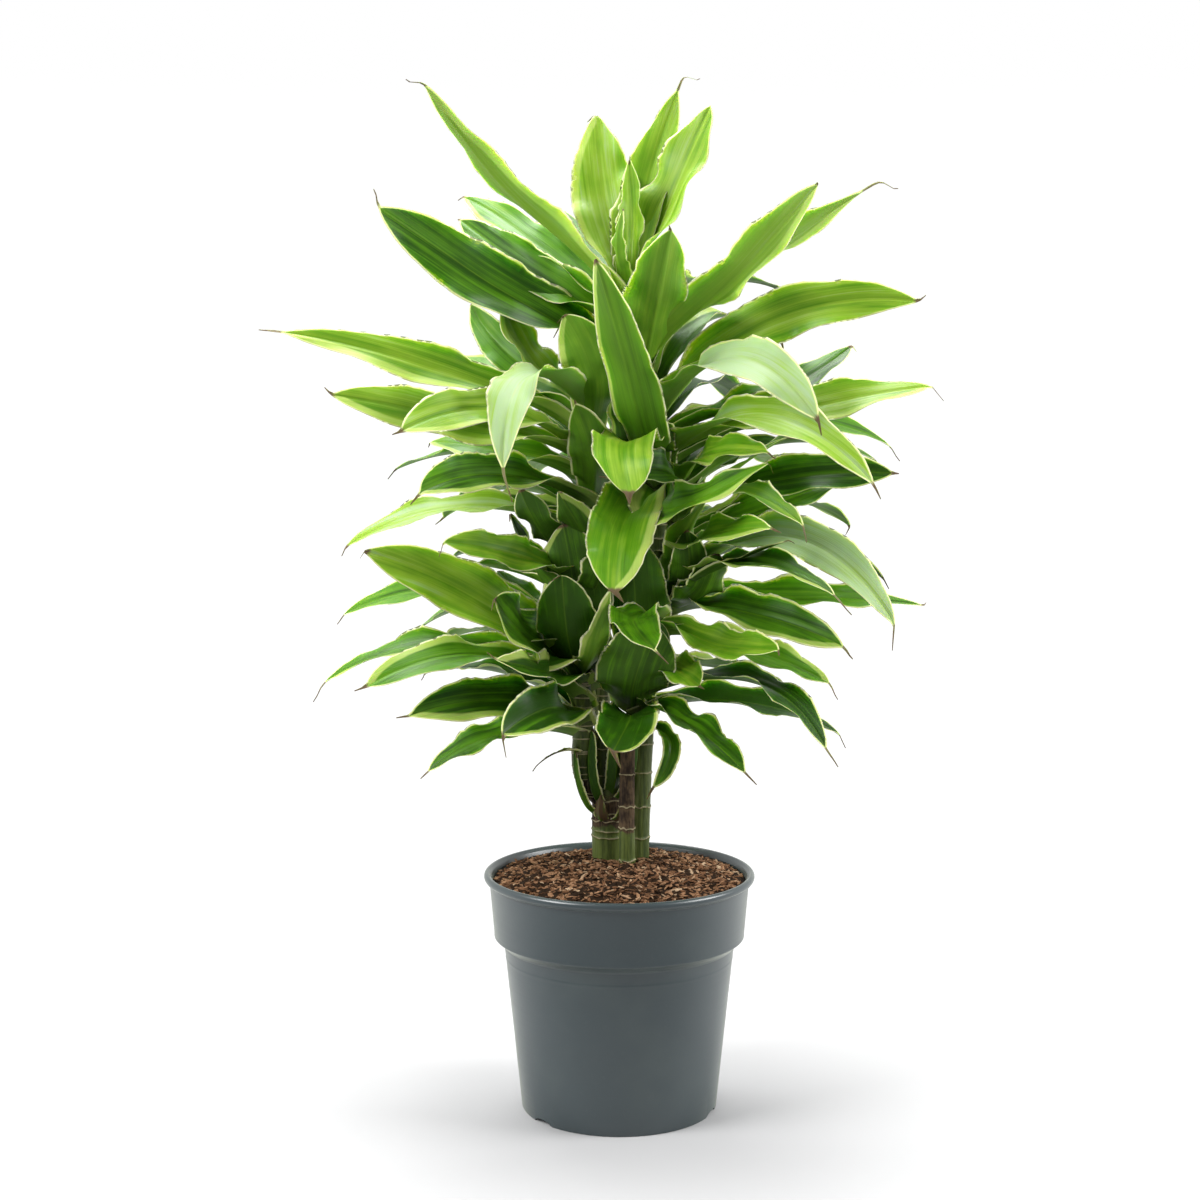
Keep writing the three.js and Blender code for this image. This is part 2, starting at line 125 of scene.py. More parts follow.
def stepUp(value, low, high):
    # 0 below low, 1 above high, smooth between them
    return field(value.tree, "ShaderNodeMapRange", {0: value, 1: low, 2: high},
                 interpolation_type="SMOOTHSTEP")


def noiseAt(place, scale, detail=2.0, output=0):
    return field(place.tree, "ShaderNodeTexNoise",
                 {"Vector": place, "Scale": scale, "Detail": detail}, output)


def stretched(place, scale):
    return field(place.tree, "ShaderNodeMapping", {"Vector": place, "Scale": scale})


def blendColor(factor, first, second):
    first, second = (color if isinstance(color, Field) else (*color, 1.0) for color in (first, second))
    return field(factor.tree, "ShaderNodeMix", {"Factor": factor, "A": first, "B": second}, "Result",
                 data_type="RGBA")


def bumpFrom(height, strength, distance):
    return field(height.tree, "ShaderNodeBump",
                 {"Height": height, "Strength": strength, "Distance": distance})


def geo(tree, kind, inputs=None, output=0, **settings):
    return field(tree, "GeometryNode" + kind, inputs, output, **settings)


def alter(geometry, kind, **inputs):
    return geo(geometry.tree, kind, {"Geometry": geometry, **inputs})


# geometry node trees: one builder for the group's sockets, one that turns the result into a plain mesh

def newTree(name, inputs):
    tree = bpy.data.node_groups.new(name, "GeometryNodeTree")
    tree.interface.new_socket("Geometry", in_out="INPUT", socket_type="NodeSocketGeometry")
    for label, value in inputs.items():
        kind = "NodeSocketInt" if isinstance(value, int) else "NodeSocketFloat"
        tree.interface.new_socket(label, in_out="INPUT", socket_type=kind).default_value = value
    tree.interface.new_socket("Material", in_out="INPUT", socket_type="NodeSocketMaterial")
    tree.interface.new_socket("Geometry", in_out="OUTPUT", socket_type="NodeSocketGeometry")
    return tree, {socket.name: Field(socket) for socket in put(tree, "NodeGroupInput").outputs}


def closeTree(tree, group, geometry):
    whole = alter(geometry, "RealizeInstances")
    dressed = alter(whole, "SetMaterial", Material=group["Material"])
    put(tree, "NodeGroupOutput", {"Geometry": dressed})
    return tree


def readAttribute(tree, name, kind="FLOAT"):
    return geo(tree, "InputNamedAttribute", {"Name": name}, "Attribute", data_type=kind)


def keep(geometry, name, value, kind=None, domain="POINT"):
    kind = kind or ("FLOAT_VECTOR" if value.socket.type == "VECTOR" else "FLOAT")
    return geo(geometry.tree, "StoreNamedAttribute",
               {"Geometry": geometry, "Name": name, "Value": value}, data_type=kind, domain=domain)


def skinGuide(tree, group, marks):
    # a ring of points swept along each guide line; marks: what to keep at each point of the ring
    curve = geo(tree, "MeshToCurve", {"Mesh": group["Geometry"]})
    curve = keep(curve, "spine", geo(tree, "InputPosition"))
    ring = geo(tree, "CurvePrimitiveCircle", {"Resolution": group["Points Around"]})
    for name, value in marks.items():
        ring = keep(ring, name, value)
    return geo(tree, "CurveToMesh", {"Curve": curve, "Profile Curve": ring, "Fill Caps": True})


def closeSkin(tree, group, skin, spot, helpers):
    skin = alter(skin, "SetPosition", Position=spot)
    for name in helpers:
        skin = alter(skin, "RemoveAttribute", Name=name)
    return closeTree(tree, group, alter(skin, "SetShadeSmooth"))


def addObject(name, data):
    made = bpy.data.objects.new(name, data)
    bpy.context.scene.collection.objects.link(made)
    return made


def growPiece(name, guide, tree, inputs, material):
    # runs the tree on the guide mesh and returns a plain object with the result
    owner = addObject(name, guide)
    modifier = owner.modifiers.new("shape", "NODES")
    modifier.node_group = tree
    values = {**inputs, "Material": material}
    for item in tree.interface.items_tree:
        if item.in_out == "INPUT" and item.name in values:
            modifier[item.identifier] = values[item.name]
    ready = owner.evaluated_get(bpy.context.evaluated_depsgraph_get())
    mesh = bpy.data.meshes.new_from_object(ready)
    owner.modifiers.remove(modifier)
    owner.data = mesh
    mesh.name = name
    faceOutwards(mesh)
    return owner


def faceOutwards(mesh):
    work = bmesh.new()
    work.from_mesh(mesh)
    bmesh.ops.recalc_face_normals(work, faces=work.faces)
    work.to_mesh(mesh)
    work.free()


def guideMesh(name, lines, attributes):
    # lines: arrays of points in metres; attributes: name -> one array for each line
    points = np.concatenate(lines)
    edges = []
    start = 0
    for line in lines:
        edges += [(start + i, start + i + 1) for i in range(len(line) - 1)]
        start += len(line)
    mesh = bpy.data.meshes.new(name)
    mesh.from_pydata(points.tolist(), edges, [])
    for label, values in attributes.items():
        values = np.concatenate(values).astype(np.float32)
        kind, part = ("FLOAT_VECTOR", "vector") if values.ndim == 2 else ("FLOAT", "value")
        mesh.attributes.new(label, kind, "POINT").data.foreach_set(part, values.ravel())
    return mesh


# shared curve rules, the same as the CAD part's

def unit(vector):
    return vector / np.linalg.norm(vector)


def smoothPath(points, firstDirection, count):
    points = [np.array(p, float) for p in points]
    legs = [b - a for a, b in zip(points, points[1:])]
    lengths = [np.linalg.norm(leg) for leg in legs]
    ways = [unit(leg) for leg in legs]
    tangents = [ways[0] if firstDirection is None else unit(firstDirection)]
    for i in range(1, len(ways)):
        tangents.append(unit(ways[i - 1] * lengths[i] + ways[i] * lengths[i - 1]))
    tangents.append(unit(2 * ways[-1] - tangents[-1]))
    dense = [points[0]]
    parts = 16
    for leg, length in enumerate(lengths):
        for i in range(1, parts + 1):
            t = i / parts
            dense.append((2 * t**3 - 3 * t**2 + 1) * points[leg]
                         + (t**3 - 2 * t**2 + t) * length * tangents[leg]
                         + (3 * t**2 - 2 * t**3) * points[leg + 1]
                         + (t**3 - t**2) * length * tangents[leg + 1])
    dense = np.array(dense)
    run = np.concatenate([[0], np.cumsum(np.linalg.norm(np.diff(dense, axis=0), axis=1))])
    wanted = np.asarray(count if np.ndim(count) else np.linspace(0, 1, count)) * run[-1]
    return np.stack([np.interp(wanted, run, dense[:, axis]) for axis in range(3)], axis=1), run[-1]


def smoothstep(value, low, high):
    t = np.clip((value - low) / (high - low), 0, 1)
    return t * t * (3 - 2 * t)


# camera, light and floor

cameraView = {
    "distance": 1.811,      # metres in front of the pot's axis
    "height": 0.652,
    "pitchDown": 6.0,       # degrees
    "turnLeft": 0.55,
    "lens": 61.3,           # for a 36 mm wide sensor
}

studio = {
    "lightAbove": 0.80,     # the room's light from above, from the sides and from below
    "lightBelow": 1.15,
    "frontShare": 0.38,     # how much of it also comes from the camera's side
    # the floor is grey near the pot and fades out into the white room: a painted soft shadow round the
    # pot, under the rendered shadows
    "floorColor": (0.52, 0.52, 0.525),
    "floorRadius": 0.6,     # metres
    "fadeFrom": 0.12,       # where the floor's grey, a painted shadow round the pot, starts to fade into the white room
    "fadeTo": 0.55,
    # name: place, what it shines at, side of the square lamp in metres, watts
    "lamps": {
        "lampLeft": ((-1.7, -0.9, 1.7), (0, 0, 0.6), 1.0, 50),
        "lampRight": ((1.8, -0.3, 1.3), (0, 0, 0.5), 1.0, 38),
        "lampAbove": ((-0.2, 0.7, 2.3), (0, 0, 0.6), 1.3, 58),
    },
}


def makeCamera():
    data = bpy.data.cameras.new("photoCamera")
    data.sensor_width = 36.0
    data.lens = cameraView["lens"]
    camera = addObject("photoCamera", data)
    camera.location = (0, -cameraView["distance"], cameraView["height"])
    camera.rotation_euler = (math.radians(90 - cameraView["pitchDown"]), 0,
                             math.radians(cameraView["turnLeft"]))
    bpy.context.scene.camera = camera


def makeStudio():
    look = SimpleNamespace(**studio)
    scene = bpy.context.scene
    scene.view_settings.view_transform = "Standard"
    world = bpy.data.worlds.new("whiteRoom")
    world.use_nodes = True
    tree = world.node_tree
    _, away, up = apart(field(tree, "ShaderNodeTexCoord", output="Generated"))
    above, behind = stepUp(up, -0.4, 0.8), stepUp(away, -0.7, 0.5)
    light = above * (look.lightAbove - look.lightBelow) + look.lightBelow
    light = light * (behind * (1 - look.frontShare) + look.frontShare)
    seen = field(tree, "ShaderNodeLightPath", output="Is Camera Ray")
    fill(tree.nodes["Background"], {"Color": (1, 1, 1, 1), "Strength": calc("MAXIMUM", light, seen)})
    scene.world = world
    for name, (place, target, side, watts) in look.lamps.items():
        data = bpy.data.lights.new(name, "AREA")
        data.size = side
        data.energy = watts
        lamp = addObject(name, data)
        lamp.location = place
        lamp.rotation_euler = (Vector(target) - Vector(place)).to_track_quat("-Z", "Y").to_euler()


def makeFloor():
    look = SimpleNamespace(**studio)
    work = bmesh.new()
    bmesh.ops.create_circle(work, cap_ends=True, segments=96, radius=look.floorRadius)
    mesh = bpy.data.meshes.new("paleFloor")
    work.to_mesh(mesh)
    work.free()
    material, tree, shader = newMaterial("floorPaintedShadow")
    away = lengthOf(objectPlace(tree))
    # grey round the pot, fading to the white room: a painted soft shadow
    paintedShadowPool = 1.0 - stepUp(away, look.fadeFrom, look.fadeTo)
    fill(shader, {"Base Color": (*look.floorColor, 1), "Roughness": 0.9, "Alpha": paintedShadowPool})
    mesh.materials.append(material)
    addObject("paleFloor", mesh)


def newMaterial(name):
    material = bpy.data.materials.new(name)
    material.use_nodes = True
    tree = material.node_tree
    return material, tree, tree.nodes["Principled BSDF"]


def objectPlace(tree):
    return field(tree, "ShaderNodeTexCoord", output="Object")


# leaves

leafShape = {
    "rootShare": 0.62,      # width at the root, as a share of the leaf's width
    "widest": 0.46,         # along the leaf
    "tailWidth": 2.6,       # mm
    "startRise": 0.5,       # how much steeper a leaf leaves the stem than it runs to its bend
    "waveReach": 1.05,      # 1 lets the waves run to the very tip, and more ends them sooner
    "edgeShift": 2.2,       # the two edges wave out of step, in radians
    "ringsAlong": 46,
    "tail": (0.012, 0.045),  # share of the leaf that is its thin tail, from and to
    "bluntness": (2.2, 4.2),
    "hook": 12.0,           # mm that the thin tail bends aside, and as much down
    "twist": 22.0,          # degrees that the outer half turns, either way
    "margin": (1.0, 2.0),   # mm of cream along the edge, from and to
    "bandChance": 0.4,      # how many leaves have a lime band along one edge
    "band": (3.0, 7.0),     # mm
    "toneAtFoot": 0.08,     # 0 is a dark leaf and 1 a light one
    "toneRise": 0.5,        # from the stem's foot to its top: painted shade on the low leaves and painted light on the high ones
    "toneSpread": 0.25,
}

leafInputs = {
    "Points Around": 40,
    "Thickness": 0.9,       # mm
    "Channel Root": 0.75,
    "Channel Tip": 0.14,
    "Midrib Depth": 0.8,
    "Waves": 3.5,
    "Wave Height": 0.10,    # of the leaf's width
    "Ripple Height": 13.0,
    "Crimp Height": 7.0,
    "Pleat Height": 0.9,
}
sheathInputs = {
    **leafInputs, "Channel Root": 0.35, "Channel Tip": 0.35, "Ripple Height": 3.0, "Crimp Height": 3.0,
    "Waves": 1.2, "Wave Height": 0.05, "Pleat Height": 0.4,
}


def leafTree():
    tree, group = newTree("leafBlades", leafInputs)
    x, y, _ = apart(geo(tree, "InputPosition"))
    blade = skinGuide(tree, group, {"share": calc("ARCSINE", x) * (2 / math.pi), "face": y})
    share, face, along, half, width, phase, seed = (
        readAttribute(tree, name)
        for name in ("share", "face", "along", "halfWidth", "leafWidth", "phase", "seed"))
    edge = abs(share)
    rightSide = calc("GREATER_THAN", share, 0.0)
    channel = (1.0 - along) ** 2.0 * group["Channel Root"] + group["Channel Tip"]
    rise = channel * half * edge ** 1.35

    reach = calc("SINE", calc("MINIMUM", along * leafShape["waveReach"], 1.0) * math.pi)
    turn = rightSide * leafShape["edgeShift"] + (group["Waves"] * (2 * math.pi) * along + phase)
    wave = group["Wave Height"] * width * reach * calc("SINE", turn) * edge ** 2.0

    place = combine(along * 7.0, rightSide * 7.0, seed * 90.0)
    loose, crimp = noiseAt(place, 1.0, 1.0) - 0.5, noiseAt(place, 3.3, 1.0) - 0.5
    nearEdge = edge ** 5.0
    ripple = loose * group["Ripple Height"] * (edge ** 2.0 * reach)
    crimped = crimp * group["Crimp Height"] * (nearEdge * reach)

    sideways = share * half
    pleat = noiseAt(combine(along * 1.6, sideways * 0.16, seed * 50.0), 1.0, 2.0) - 0.5
    pleat = pleat * (group["Pleat Height"] * 2.0) * reach
    groove = calc("MAXIMUM", abs(sideways) * -0.4 + 1.0, 0.0) * group["Midrib Depth"]
    lift = rise + wave + ripple + crimped + pleat - groove + face * (group["Thickness"] * 0.5)
    sideways = sideways * (crimp * nearEdge * 0.14 + 1.0)

    spine, across, up = (readAttribute(tree, name, "FLOAT_VECTOR") for name in ("spine", "across", "up"))
    spot = spine + (scaled(across, sideways * mm) + scaled(up, lift * mm))
    blade = keep(blade, "UVMap", combine(share * 0.5 + 0.5, along, 0.0), "FLOAT2", "CORNER")
    return closeSkin(tree, group, blade, spot, ("spine", "across", "up", "share", "phase"))


plainLeaf = (42, 0, {})     # width, turn and own values of a leaf whose row leaves them out


def leafOutline(along, width, tail, bluntness):
    shape = SimpleNamespace(**leafShape)
    body = along / (1 - tail)
    opening = smoothstep(body, 0, shape.widest)
    rootWidth = width * shape.rootShare
    low = rootWidth + (width - rootWidth) * opening
    past = np.clip((body - shape.widest) / (1 - shape.widest), 0, 1)
    high = width * (1 - past**bluntness) ** 0.85
    thin = shape.tailWidth * (1 - 0.6 * smoothstep(along, 1 - tail, 1))
    return np.maximum(np.where(body < shape.widest, low, high), thin) / 2


def layLeaf(row, stem, number, chance):
    # one leaf's guide line, with what the tree needs at each of its points
    shape = SimpleNamespace(**leafShape)
    rootZ, bend, tip, width, turn, own = (*row, *plainLeaf[len(row) - 3:])
    root = stem[np.abs(stem[:, 2] - rootZ).argmin()]
    bend, tip = np.array(bend, float), np.array(tip, float)
    outward = unit((bend - root) * (1, 1, 0))
    start = unit(bend - root) + np.array((0, 0, shape.startRise))
    t = np.linspace(0, 1, shape.ringsAlong)
    along = 1.15 * t - 0.15 * t**3      # closer rings towards the tip
    spine, _ = smoothPath([root, bend, tip], start, along)

    roll = math.radians(turn) * np.sign(tip[0] - root[0])
    twist = math.radians(chance.uniform(-1, 1) * shape.twist)
    side = np.cross((0, 0, 1), outward)
    across, up = [], []
    for i, share in enumerate(along):
        ahead = unit(spine[min(i + 1, len(spine) - 1)] - spine[max(i - 1, 0)])
        side = unit(side - ahead * side.dot(ahead))
        normal = np.cross(ahead, side)
        angle = roll * smoothstep(share, 0.1, 0.55) + twist * smoothstep(share, 0.5, 1)
        across.append(side * math.cos(angle) + normal * math.sin(angle))
        up.append(normal * math.cos(angle) - side * math.sin(angle))
    across, up = np.array(across), np.array(up)

    tail = chance.uniform(*shape.tail)
    bluntness = chance.uniform(*shape.bluntness)
    margin = chance.uniform(*shape.margin)
    band = chance.uniform(*shape.band) * chance.choice([-1, 1])
    if chance.random() > shape.bandChance:
        band = 0
    height = (rootZ - stem[0][2]) / (stem[-1][2] - stem[0][2])
    # lighter up the stem: painted shade low in the crown and painted light at its top
    tone = shape.toneAtFoot + shape.toneRise * height
    tone = np.clip(tone + shape.toneSpread * chance.uniform(-1, 1), 0, 1)
    tail, bluntness, tone = own.get("tail", tail), own.get("blunt", bluntness), own.get("tone", tone)
    if "band" in own:
        band = -own["band"] * np.sign(outward[0])    # given for the edge nearer the front
    hook = shape.hook * smoothstep(along, 1 - 1.6 * min(tail, 0.06), 1)[:, None] ** 2
    spine = spine + hook * (across * chance.uniform(-1, 1) - np.array((0, 0, chance.uniform(0, 1))))
    count = len(along)
    return {
        "line": spine * mm,
        "across": across,
        "up": up,
        "along": along,
        "halfWidth": leafOutline(along, width, tail, bluntness),
        "leafWidth": np.full(count, width),
        "phase": np.full(count, (root[2] * 7.31 + width) % (2 * math.pi)),
        "seed": np.full(count, number / 100 + chance.uniform(0, 0.009)),
        "tone": np.full(count, tone),
        "margin": np.full(count, margin),
        "band": np.full(count, band),
        "dryness": np.full(count, own.get("dry", 0.0)),
    }


def makeLeaves(name, node, shoot, tree, inputs, material, chance):
    stem, _ = smoothPath(shoot["path"], None, 65)
    leaves = [layLeaf(row, stem, i, chance) for i, row in enumerate(shoot["leaves"])]
    lines = [leaf.pop("line") for leaf in leaves]
    guide = guideMesh(name + "Guide", lines, {key: [leaf[key] for leaf in leaves] for key in leaves[0]})
    blades = growPiece(name, guide, tree, inputs, material)
    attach(blades, "root")
    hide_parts(node)
    print(name, "made:", len(leaves), "leaves,", len(blades.data.polygons), "faces")


# canes and stems

caneInputs = {"Points Around": 48, "Ring Rise": 0.9, "Ring Wobble": 7.0, "Grain Depth": 1.5}
stemInputs = {"Points Around": 24, "Ring Rise": 0.5, "Ring Wobble": 2.0, "Grain Depth": 0.3}
stalkShape = {
    "step": 0.8,            # mm between the rings of points
    "scarsApart": 8.0,      # on a stem; a cane lists its own
    "scarWidth": 0.9,
}


def stalkTree():
    tree, group = newTree("stalk", caneInputs)
    skin = skinGuide(tree, group, {"round": geo(tree, "InputPosition")})
    girth, height, scar = (readAttribute(tree, name) for name in ("girth", "height", "scar"))
    spine, around = (readAttribute(tree, name, "FLOAT_VECTOR") for name in ("spine", "round"))
    x, y, _ = apart(around)
    slip = (noiseAt(combine(x, y, height * 0.02), 1.3) - 0.5) * group["Ring Wobble"]
    grain = noiseAt(combine(x * 5.0, y * 5.0, height * 0.06), 1.0, 3.0) - 0.5
    reach = scar * group["Ring Rise"] + (grain * group["Grain Depth"] + girth)
    spot = spine + scaled(around, reach * mm) + combine(0.0, 0.0, slip * mm)
    return closeSkin(tree, group, skin, spot, ("spine",))


def makeStalk(name, node, each, tree, inputs, material):
    shape = SimpleNamespace(**stalkShape)
    count = int((each["path"][-1][2] - each["path"][0][2]) / shape.step)
    spine, _ = smoothPath(each["path"], None, count)
    radius = np.interp(np.linspace(0, 1, count), np.linspace(0, 1, len(each["radii"])), each["radii"])
    height = spine[:, 2]
    turns = np.arange(int((height[-1] - height[0]) / shape.scarsApart))
    uneven = height[0] + shape.scarsApart * (turns + 0.4 * np.sin(2.4 * turns))
    rings = np.array(each.get("rings", uneven))
    scar = np.exp(-((height[:, None] - rings) / shape.scarWidth) ** 2).max(axis=1)
    marks = {"girth": [radius], "height": [height], "scar": [scar]}
    guide = guideMesh(name + "Guide", [spine * mm], marks)
    stalk = growPiece(name, guide, tree, inputs, material)
    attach(stalk, "root")
    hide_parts(node)
    return stalk


caneLeft = {
    "path": [[-10, 38, 185], [-11, 38, 240], [-12, 39, 290], [-15, 41, 338]],
    "radii": [14.4, 14.2, 13.2, 12],
    "rings": [240, 246, 255, 262, 274, 297, 322],
}
caneMiddle = {
    "path": [[8, 14, 185], [7, 15, 235], [7, 17, 290], [8, 17, 335]],
    "radii": [7.2, 7.2, 6.8, 6.4],
    "rings": [222, 252, 272, 301],
}
caneRight = {
    "path": [[17, 37, 185], [18, 38, 250], [22, 39, 340], [32, 40, 450], [33, 39, 545]],
    "radii": [10, 10, 9.6, 9.4, 9.6],
    "rings": [239, 268, 299, 326, 350, 374, 395, 414, 431, 447, 462, 476, 490, 503, 515, 527, 538],
}


def broadEnd(tone, **more):
    return {"tone": tone, "blunt": 4, "tail": 0.005, **more}


# old sheaths that still wrap the canes, and one dried leaf, in the same terms as a shoot's leaves
sheath = {"blunt": 5, "tail": 0.01, "band": 0}
caneSheaths = {
    "path": [[-10, 36, 215], [-11, 36, 250], [-12, 37, 300], [-14, 38, 338]],
    "leaves": [
        [256, [-24, 21, 284], [-24, 20, 343], 16, 0, broadEnd(-0.1, **sheath)],
        [262, [-4, 22, 296], [-3, 20, 343], 17, 0, broadEnd(0.0, **sheath)],
        [262, [12, 22, 298], [14, 24, 343], 12, 0, broadEnd(0.1, **sheath)],
        [250, [-31, 22, 272], [-40, 19, 326], 12, 0, broadEnd(0.1, **sheath)],
        [246, [-18, 21, 262], [-16, 20, 284], 14, 0, dict(tone=0.2, blunt=3, tail=0.1, dry=1)],
        [250, [2, 20, 262], [4, 18, 280], 12, 0, dict(tone=0.3, blunt=3, tail=0.1, dry=1)],
        [300, [-52, 10, 324], [-79, 0, 308], 7, 0, dict(tone=0.2, blunt=2, tail=0.3, dry=1)],
    ],
}

# each leafy shoot: points up its stem, the stem's radii, and its leaves as
# [height of the root on the stem, where it bends, its tip, its width, its turn to the front]
# and, for some leaves, values of their own in place of the random ones

# a leaf's own tone follows how light that leaf looks: the lowest paint the shade in the crown's heart,
# and those above 1 paint a sheen
shootTop = {
    "path": [[33, 39, 545.3], [29, 36, 600], [18, 30, 665], [6, 25, 732]],
    "radii": [9.6, 8.6, 7.5, 5],
    "leaves": [
        [549, [4, -60, 535], [-4, -135, 480], 58, 15, broadEnd(0.6, band=7)],
        [554, [44, -62, 546], [130, -86, 590], 46, 45, dict(tone=0.45, blunt=3, band=7)],
        [566, [2, -70, 600], [8, -122, 560], 54, 5, broadEnd(0.8, blunt=5)],
        [560, [16, -4, 608], [2, -12, 662], 60, 0, broadEnd(0.1)],
        [567, [165, 90, 620], [265, 130, 590], 42, 30],
        [573, [130, -60, 625], [215, -115, 565], 46, 35, dict(tone=1.1)],
        [578, [195, 5, 638], [285, 5, 652], 46, 50, dict(tone=0.95, band=5, blunt=3, tail=0.03)],
        [584, [115, 105, 632], [200, 175, 600]],
        [589, [10, 140, 640], [-10, 245, 605]],
        [595, [155, 45, 650], [215, 75, 690], 42, 25],
        [600, [80, 130, 655], [125, 230, 625]],
        [606, [100, -60, 675], [165, -130, 620], 46, 40, dict(tone=1.4)],
        [611, [-35, 120, 675], [-95, 210, 645]],
        [617, [30, 140, 695], [35, 250, 670]],
        [623, [150, 15, 715], [270, 15, 725], 48, 75, dict(blunt=2.6, tail=0.02, tone=0.88)],
        [628, [90, 110, 715], [160, 195, 690]],
        [639, [-20, 130, 730], [-60, 230, 710]],
        [645, [-135, 45, 755], [-230, 70, 820], 56, 70, dict(blunt=3.2, tone=0.2)],
        [650, [95, 90, 745], [155, 140, 740], 42, 15],
        [656, [45, 130, 750], [80, 235, 735]],
        [661, [110, -20, 755], [175, -10, 830], 46, -30, dict(blunt=3, tone=0.95, band=-8)],
        [667, [150, 50, 780], [250, 70, 845], 42, -40, dict(blunt=2, tail=0.12, tone=0.95, band=-8)],
        [549, [14, -44, 635], [-22, -55, 762], 46, 0, dict(blunt=2.3, tail=0.01, tone=0.38)],
        [678, [-105, 78, 772], [-155, 140, 810], 42, 65, dict(tone=0.35)],
        [684, [-38, 138, 788], [-62, 180, 825], 36, 0],
        [689, [-95, 115, 795], [-155, 200, 835], 42, 30, dict(tone=0.5)],
        [655, [34, -30, 735], [44, -48, 788], 56, 0, dict(blunt=3.5, tone=0.72)],
        [711, [-117, 5, 842], [-176, -40, 922], 42, -25, dict(blunt=1.8, tail=0.06, tone=1, band=7)],
        [717, [48, 40, 825], [84, 52, 907], 60, 25, dict(blunt=2.6, tail=0.03, tone=0.95)],
        [721, [12, 32, 805], [8, 30, 855], 30, 15, dict(tone=0.95)],
        [722, [-15, 75, 830], [-22, 112, 905], 62, 30, dict(blunt=2, tail=0.02, tone=1)],
        [727, [-2, 8, 780], [5, 2, 810], 18, 20],
        [728, [31, 72, 852], [63, 96, 946], 48, 10, dict(blunt=1.8, tail=0.12, tone=0.9)],
    ],
}
shootUpperLeft = {
    "path": [[-15, 41, 338.3], [-21, 46, 450], [-25, 45, 560], [-28, 38, 640]],
    "radii": [8, 7.5, 6.5, 4.5],
    "leaves": [
        [500, [-30, 145, 530], [-20, 245, 495]],
        [507, [-150, 25, 542], [-250, 15, 505], 42, 20, dict(tone=1.15)],
        [480, [-66, 6, 518], [-88, -6, 562], 48, 0, broadEnd(0.05)],
        [490, [-36, -24, 530], [-56, -44, 566], 44, 0, dict(tone=0.1)],
        [521, [-100, 80, 545], [-150, 135, 540], 29, 35],
        [529, [-110, 120, 555], [-175, 195, 520]],
        [536, [-130, -60, 575], [-170, -120, 560], 42, 50, dict(tone=0.25, band=5, blunt=4)],
        [543, [-70, 140, 580], [-90, 240, 550]],
        [540, [-24, -6, 590], [-40, -20, 640], 44, 0],
        [557, [-135, 110, 590], [-220, 160, 570]],
        [564, [-125, 50, 595], [-180, 90, 600], 38, 40],
        [572, [-155, -45, 625], [-250, -80, 645], 42, 70, dict(tone=0.85, band=6)],
        [579, [-140, -85, 630], [-184, -125, 612], 44, 50, broadEnd(0.9, band=5, blunt=4.5, tail=0.02)],
        [586, [-100, 130, 625], [-150, 215, 605]],
        [593, [-55, 140, 650], [-55, 240, 630]],
        [600, [-177, 15, 670], [-322, 10, 702], 44, 65, dict(blunt=1.7, tail=0.06, tone=0.8, band=8)],
        [607, [-24, 4, 660], [-50, -8, 715], 50, 0],
        [615, [-100, 80, 655], [-155, 145, 680], 38, 30],
        [622, [-78, -45, 660], [-95, -130, 565], 46, 0, dict(blunt=2.2, tail=0.08, tone=1.4)],
        [629, [-72, 30, 668], [-106, 40, 728], 44, 40, dict(tone=1, blunt=3, band=6)],
        [636, [-95, 60, 675], [-140, 105, 730], 36, 70],
    ],
}
shootLeft = {
    "path": [[-14, 37, 268], [-29, 33, 288], [-33, 23, 350], [-36, 12, 430], [-37, 4, 485]],
    "radii": [9, 9.5, 8.5, 7, 4.5],
    "leaves": [
        [330, [-125, 0, 335], [-175, -10, 305], 38, 25],
        [337, [-65, -75, 375], [-100, -130, 360], 43, 55],
        [343, [-115, -55, 380], [-185, -95, 370], 42, 55],
        [350, [-120, 65, 390], [-190, 100, 380], 38, 0],
        [357, [-65, 115, 400], [-100, 200, 365]],
        [363, [-140, -60, 420], [-220, -100, 395], 42, 25],
        [370, [-160, 15, 420], [-275, 0, 380], 42, 15],
        [372, [-46, -32, 438], [-50, -48, 494], 58, 0, dict(tone=-0.05)],
        [377, [-72, -74, 410], [-108, -112, 424], 38, 40, dict(tone=0.1)],
        [379, [-125, -25, 465], [-225, -45, 510], 54, 70, dict(blunt=2.8, tone=0.9)],
        [383, [-110, 80, 425], [-190, 135, 395]],
        [385, [-21, -41, 424], [-8, -54, 479], 28, 10, dict(tone=0.7, band=4, blunt=2, tail=0.01)],
        [386, [-80, -36, 430], [-108, -72, 472], 68, 50, dict(tone=0.2, blunt=4)],
        [390, [-130, 105, 445], [-210, 160, 405], 42, 20],
        [393, [-38, -10, 455], [-50, -14, 532], 64, 5, broadEnd(0.1)],
        [397, [-80, 110, 440], [-130, 190, 410]],
        [417, [-165, 60, 465], [-265, 85, 435], 42, 30],
        [423, [-85, 65, 455], [-115, 100, 480], 34, 15],
        [430, [-74, 6, 488], [-98, 4, 540], 50, 0, broadEnd(0.1)],
        [440, [-20, -14, 478], [-4, -26, 522], 40, 0, broadEnd(0.15)],
        [450, [-120, 80, 485], [-210, 130, 470]],
        [457, [-110, 85, 500], [-175, 150, 480]],
        [470, [-96, -52, 508], [-155, -84, 520], 34, 60],
    ],
}
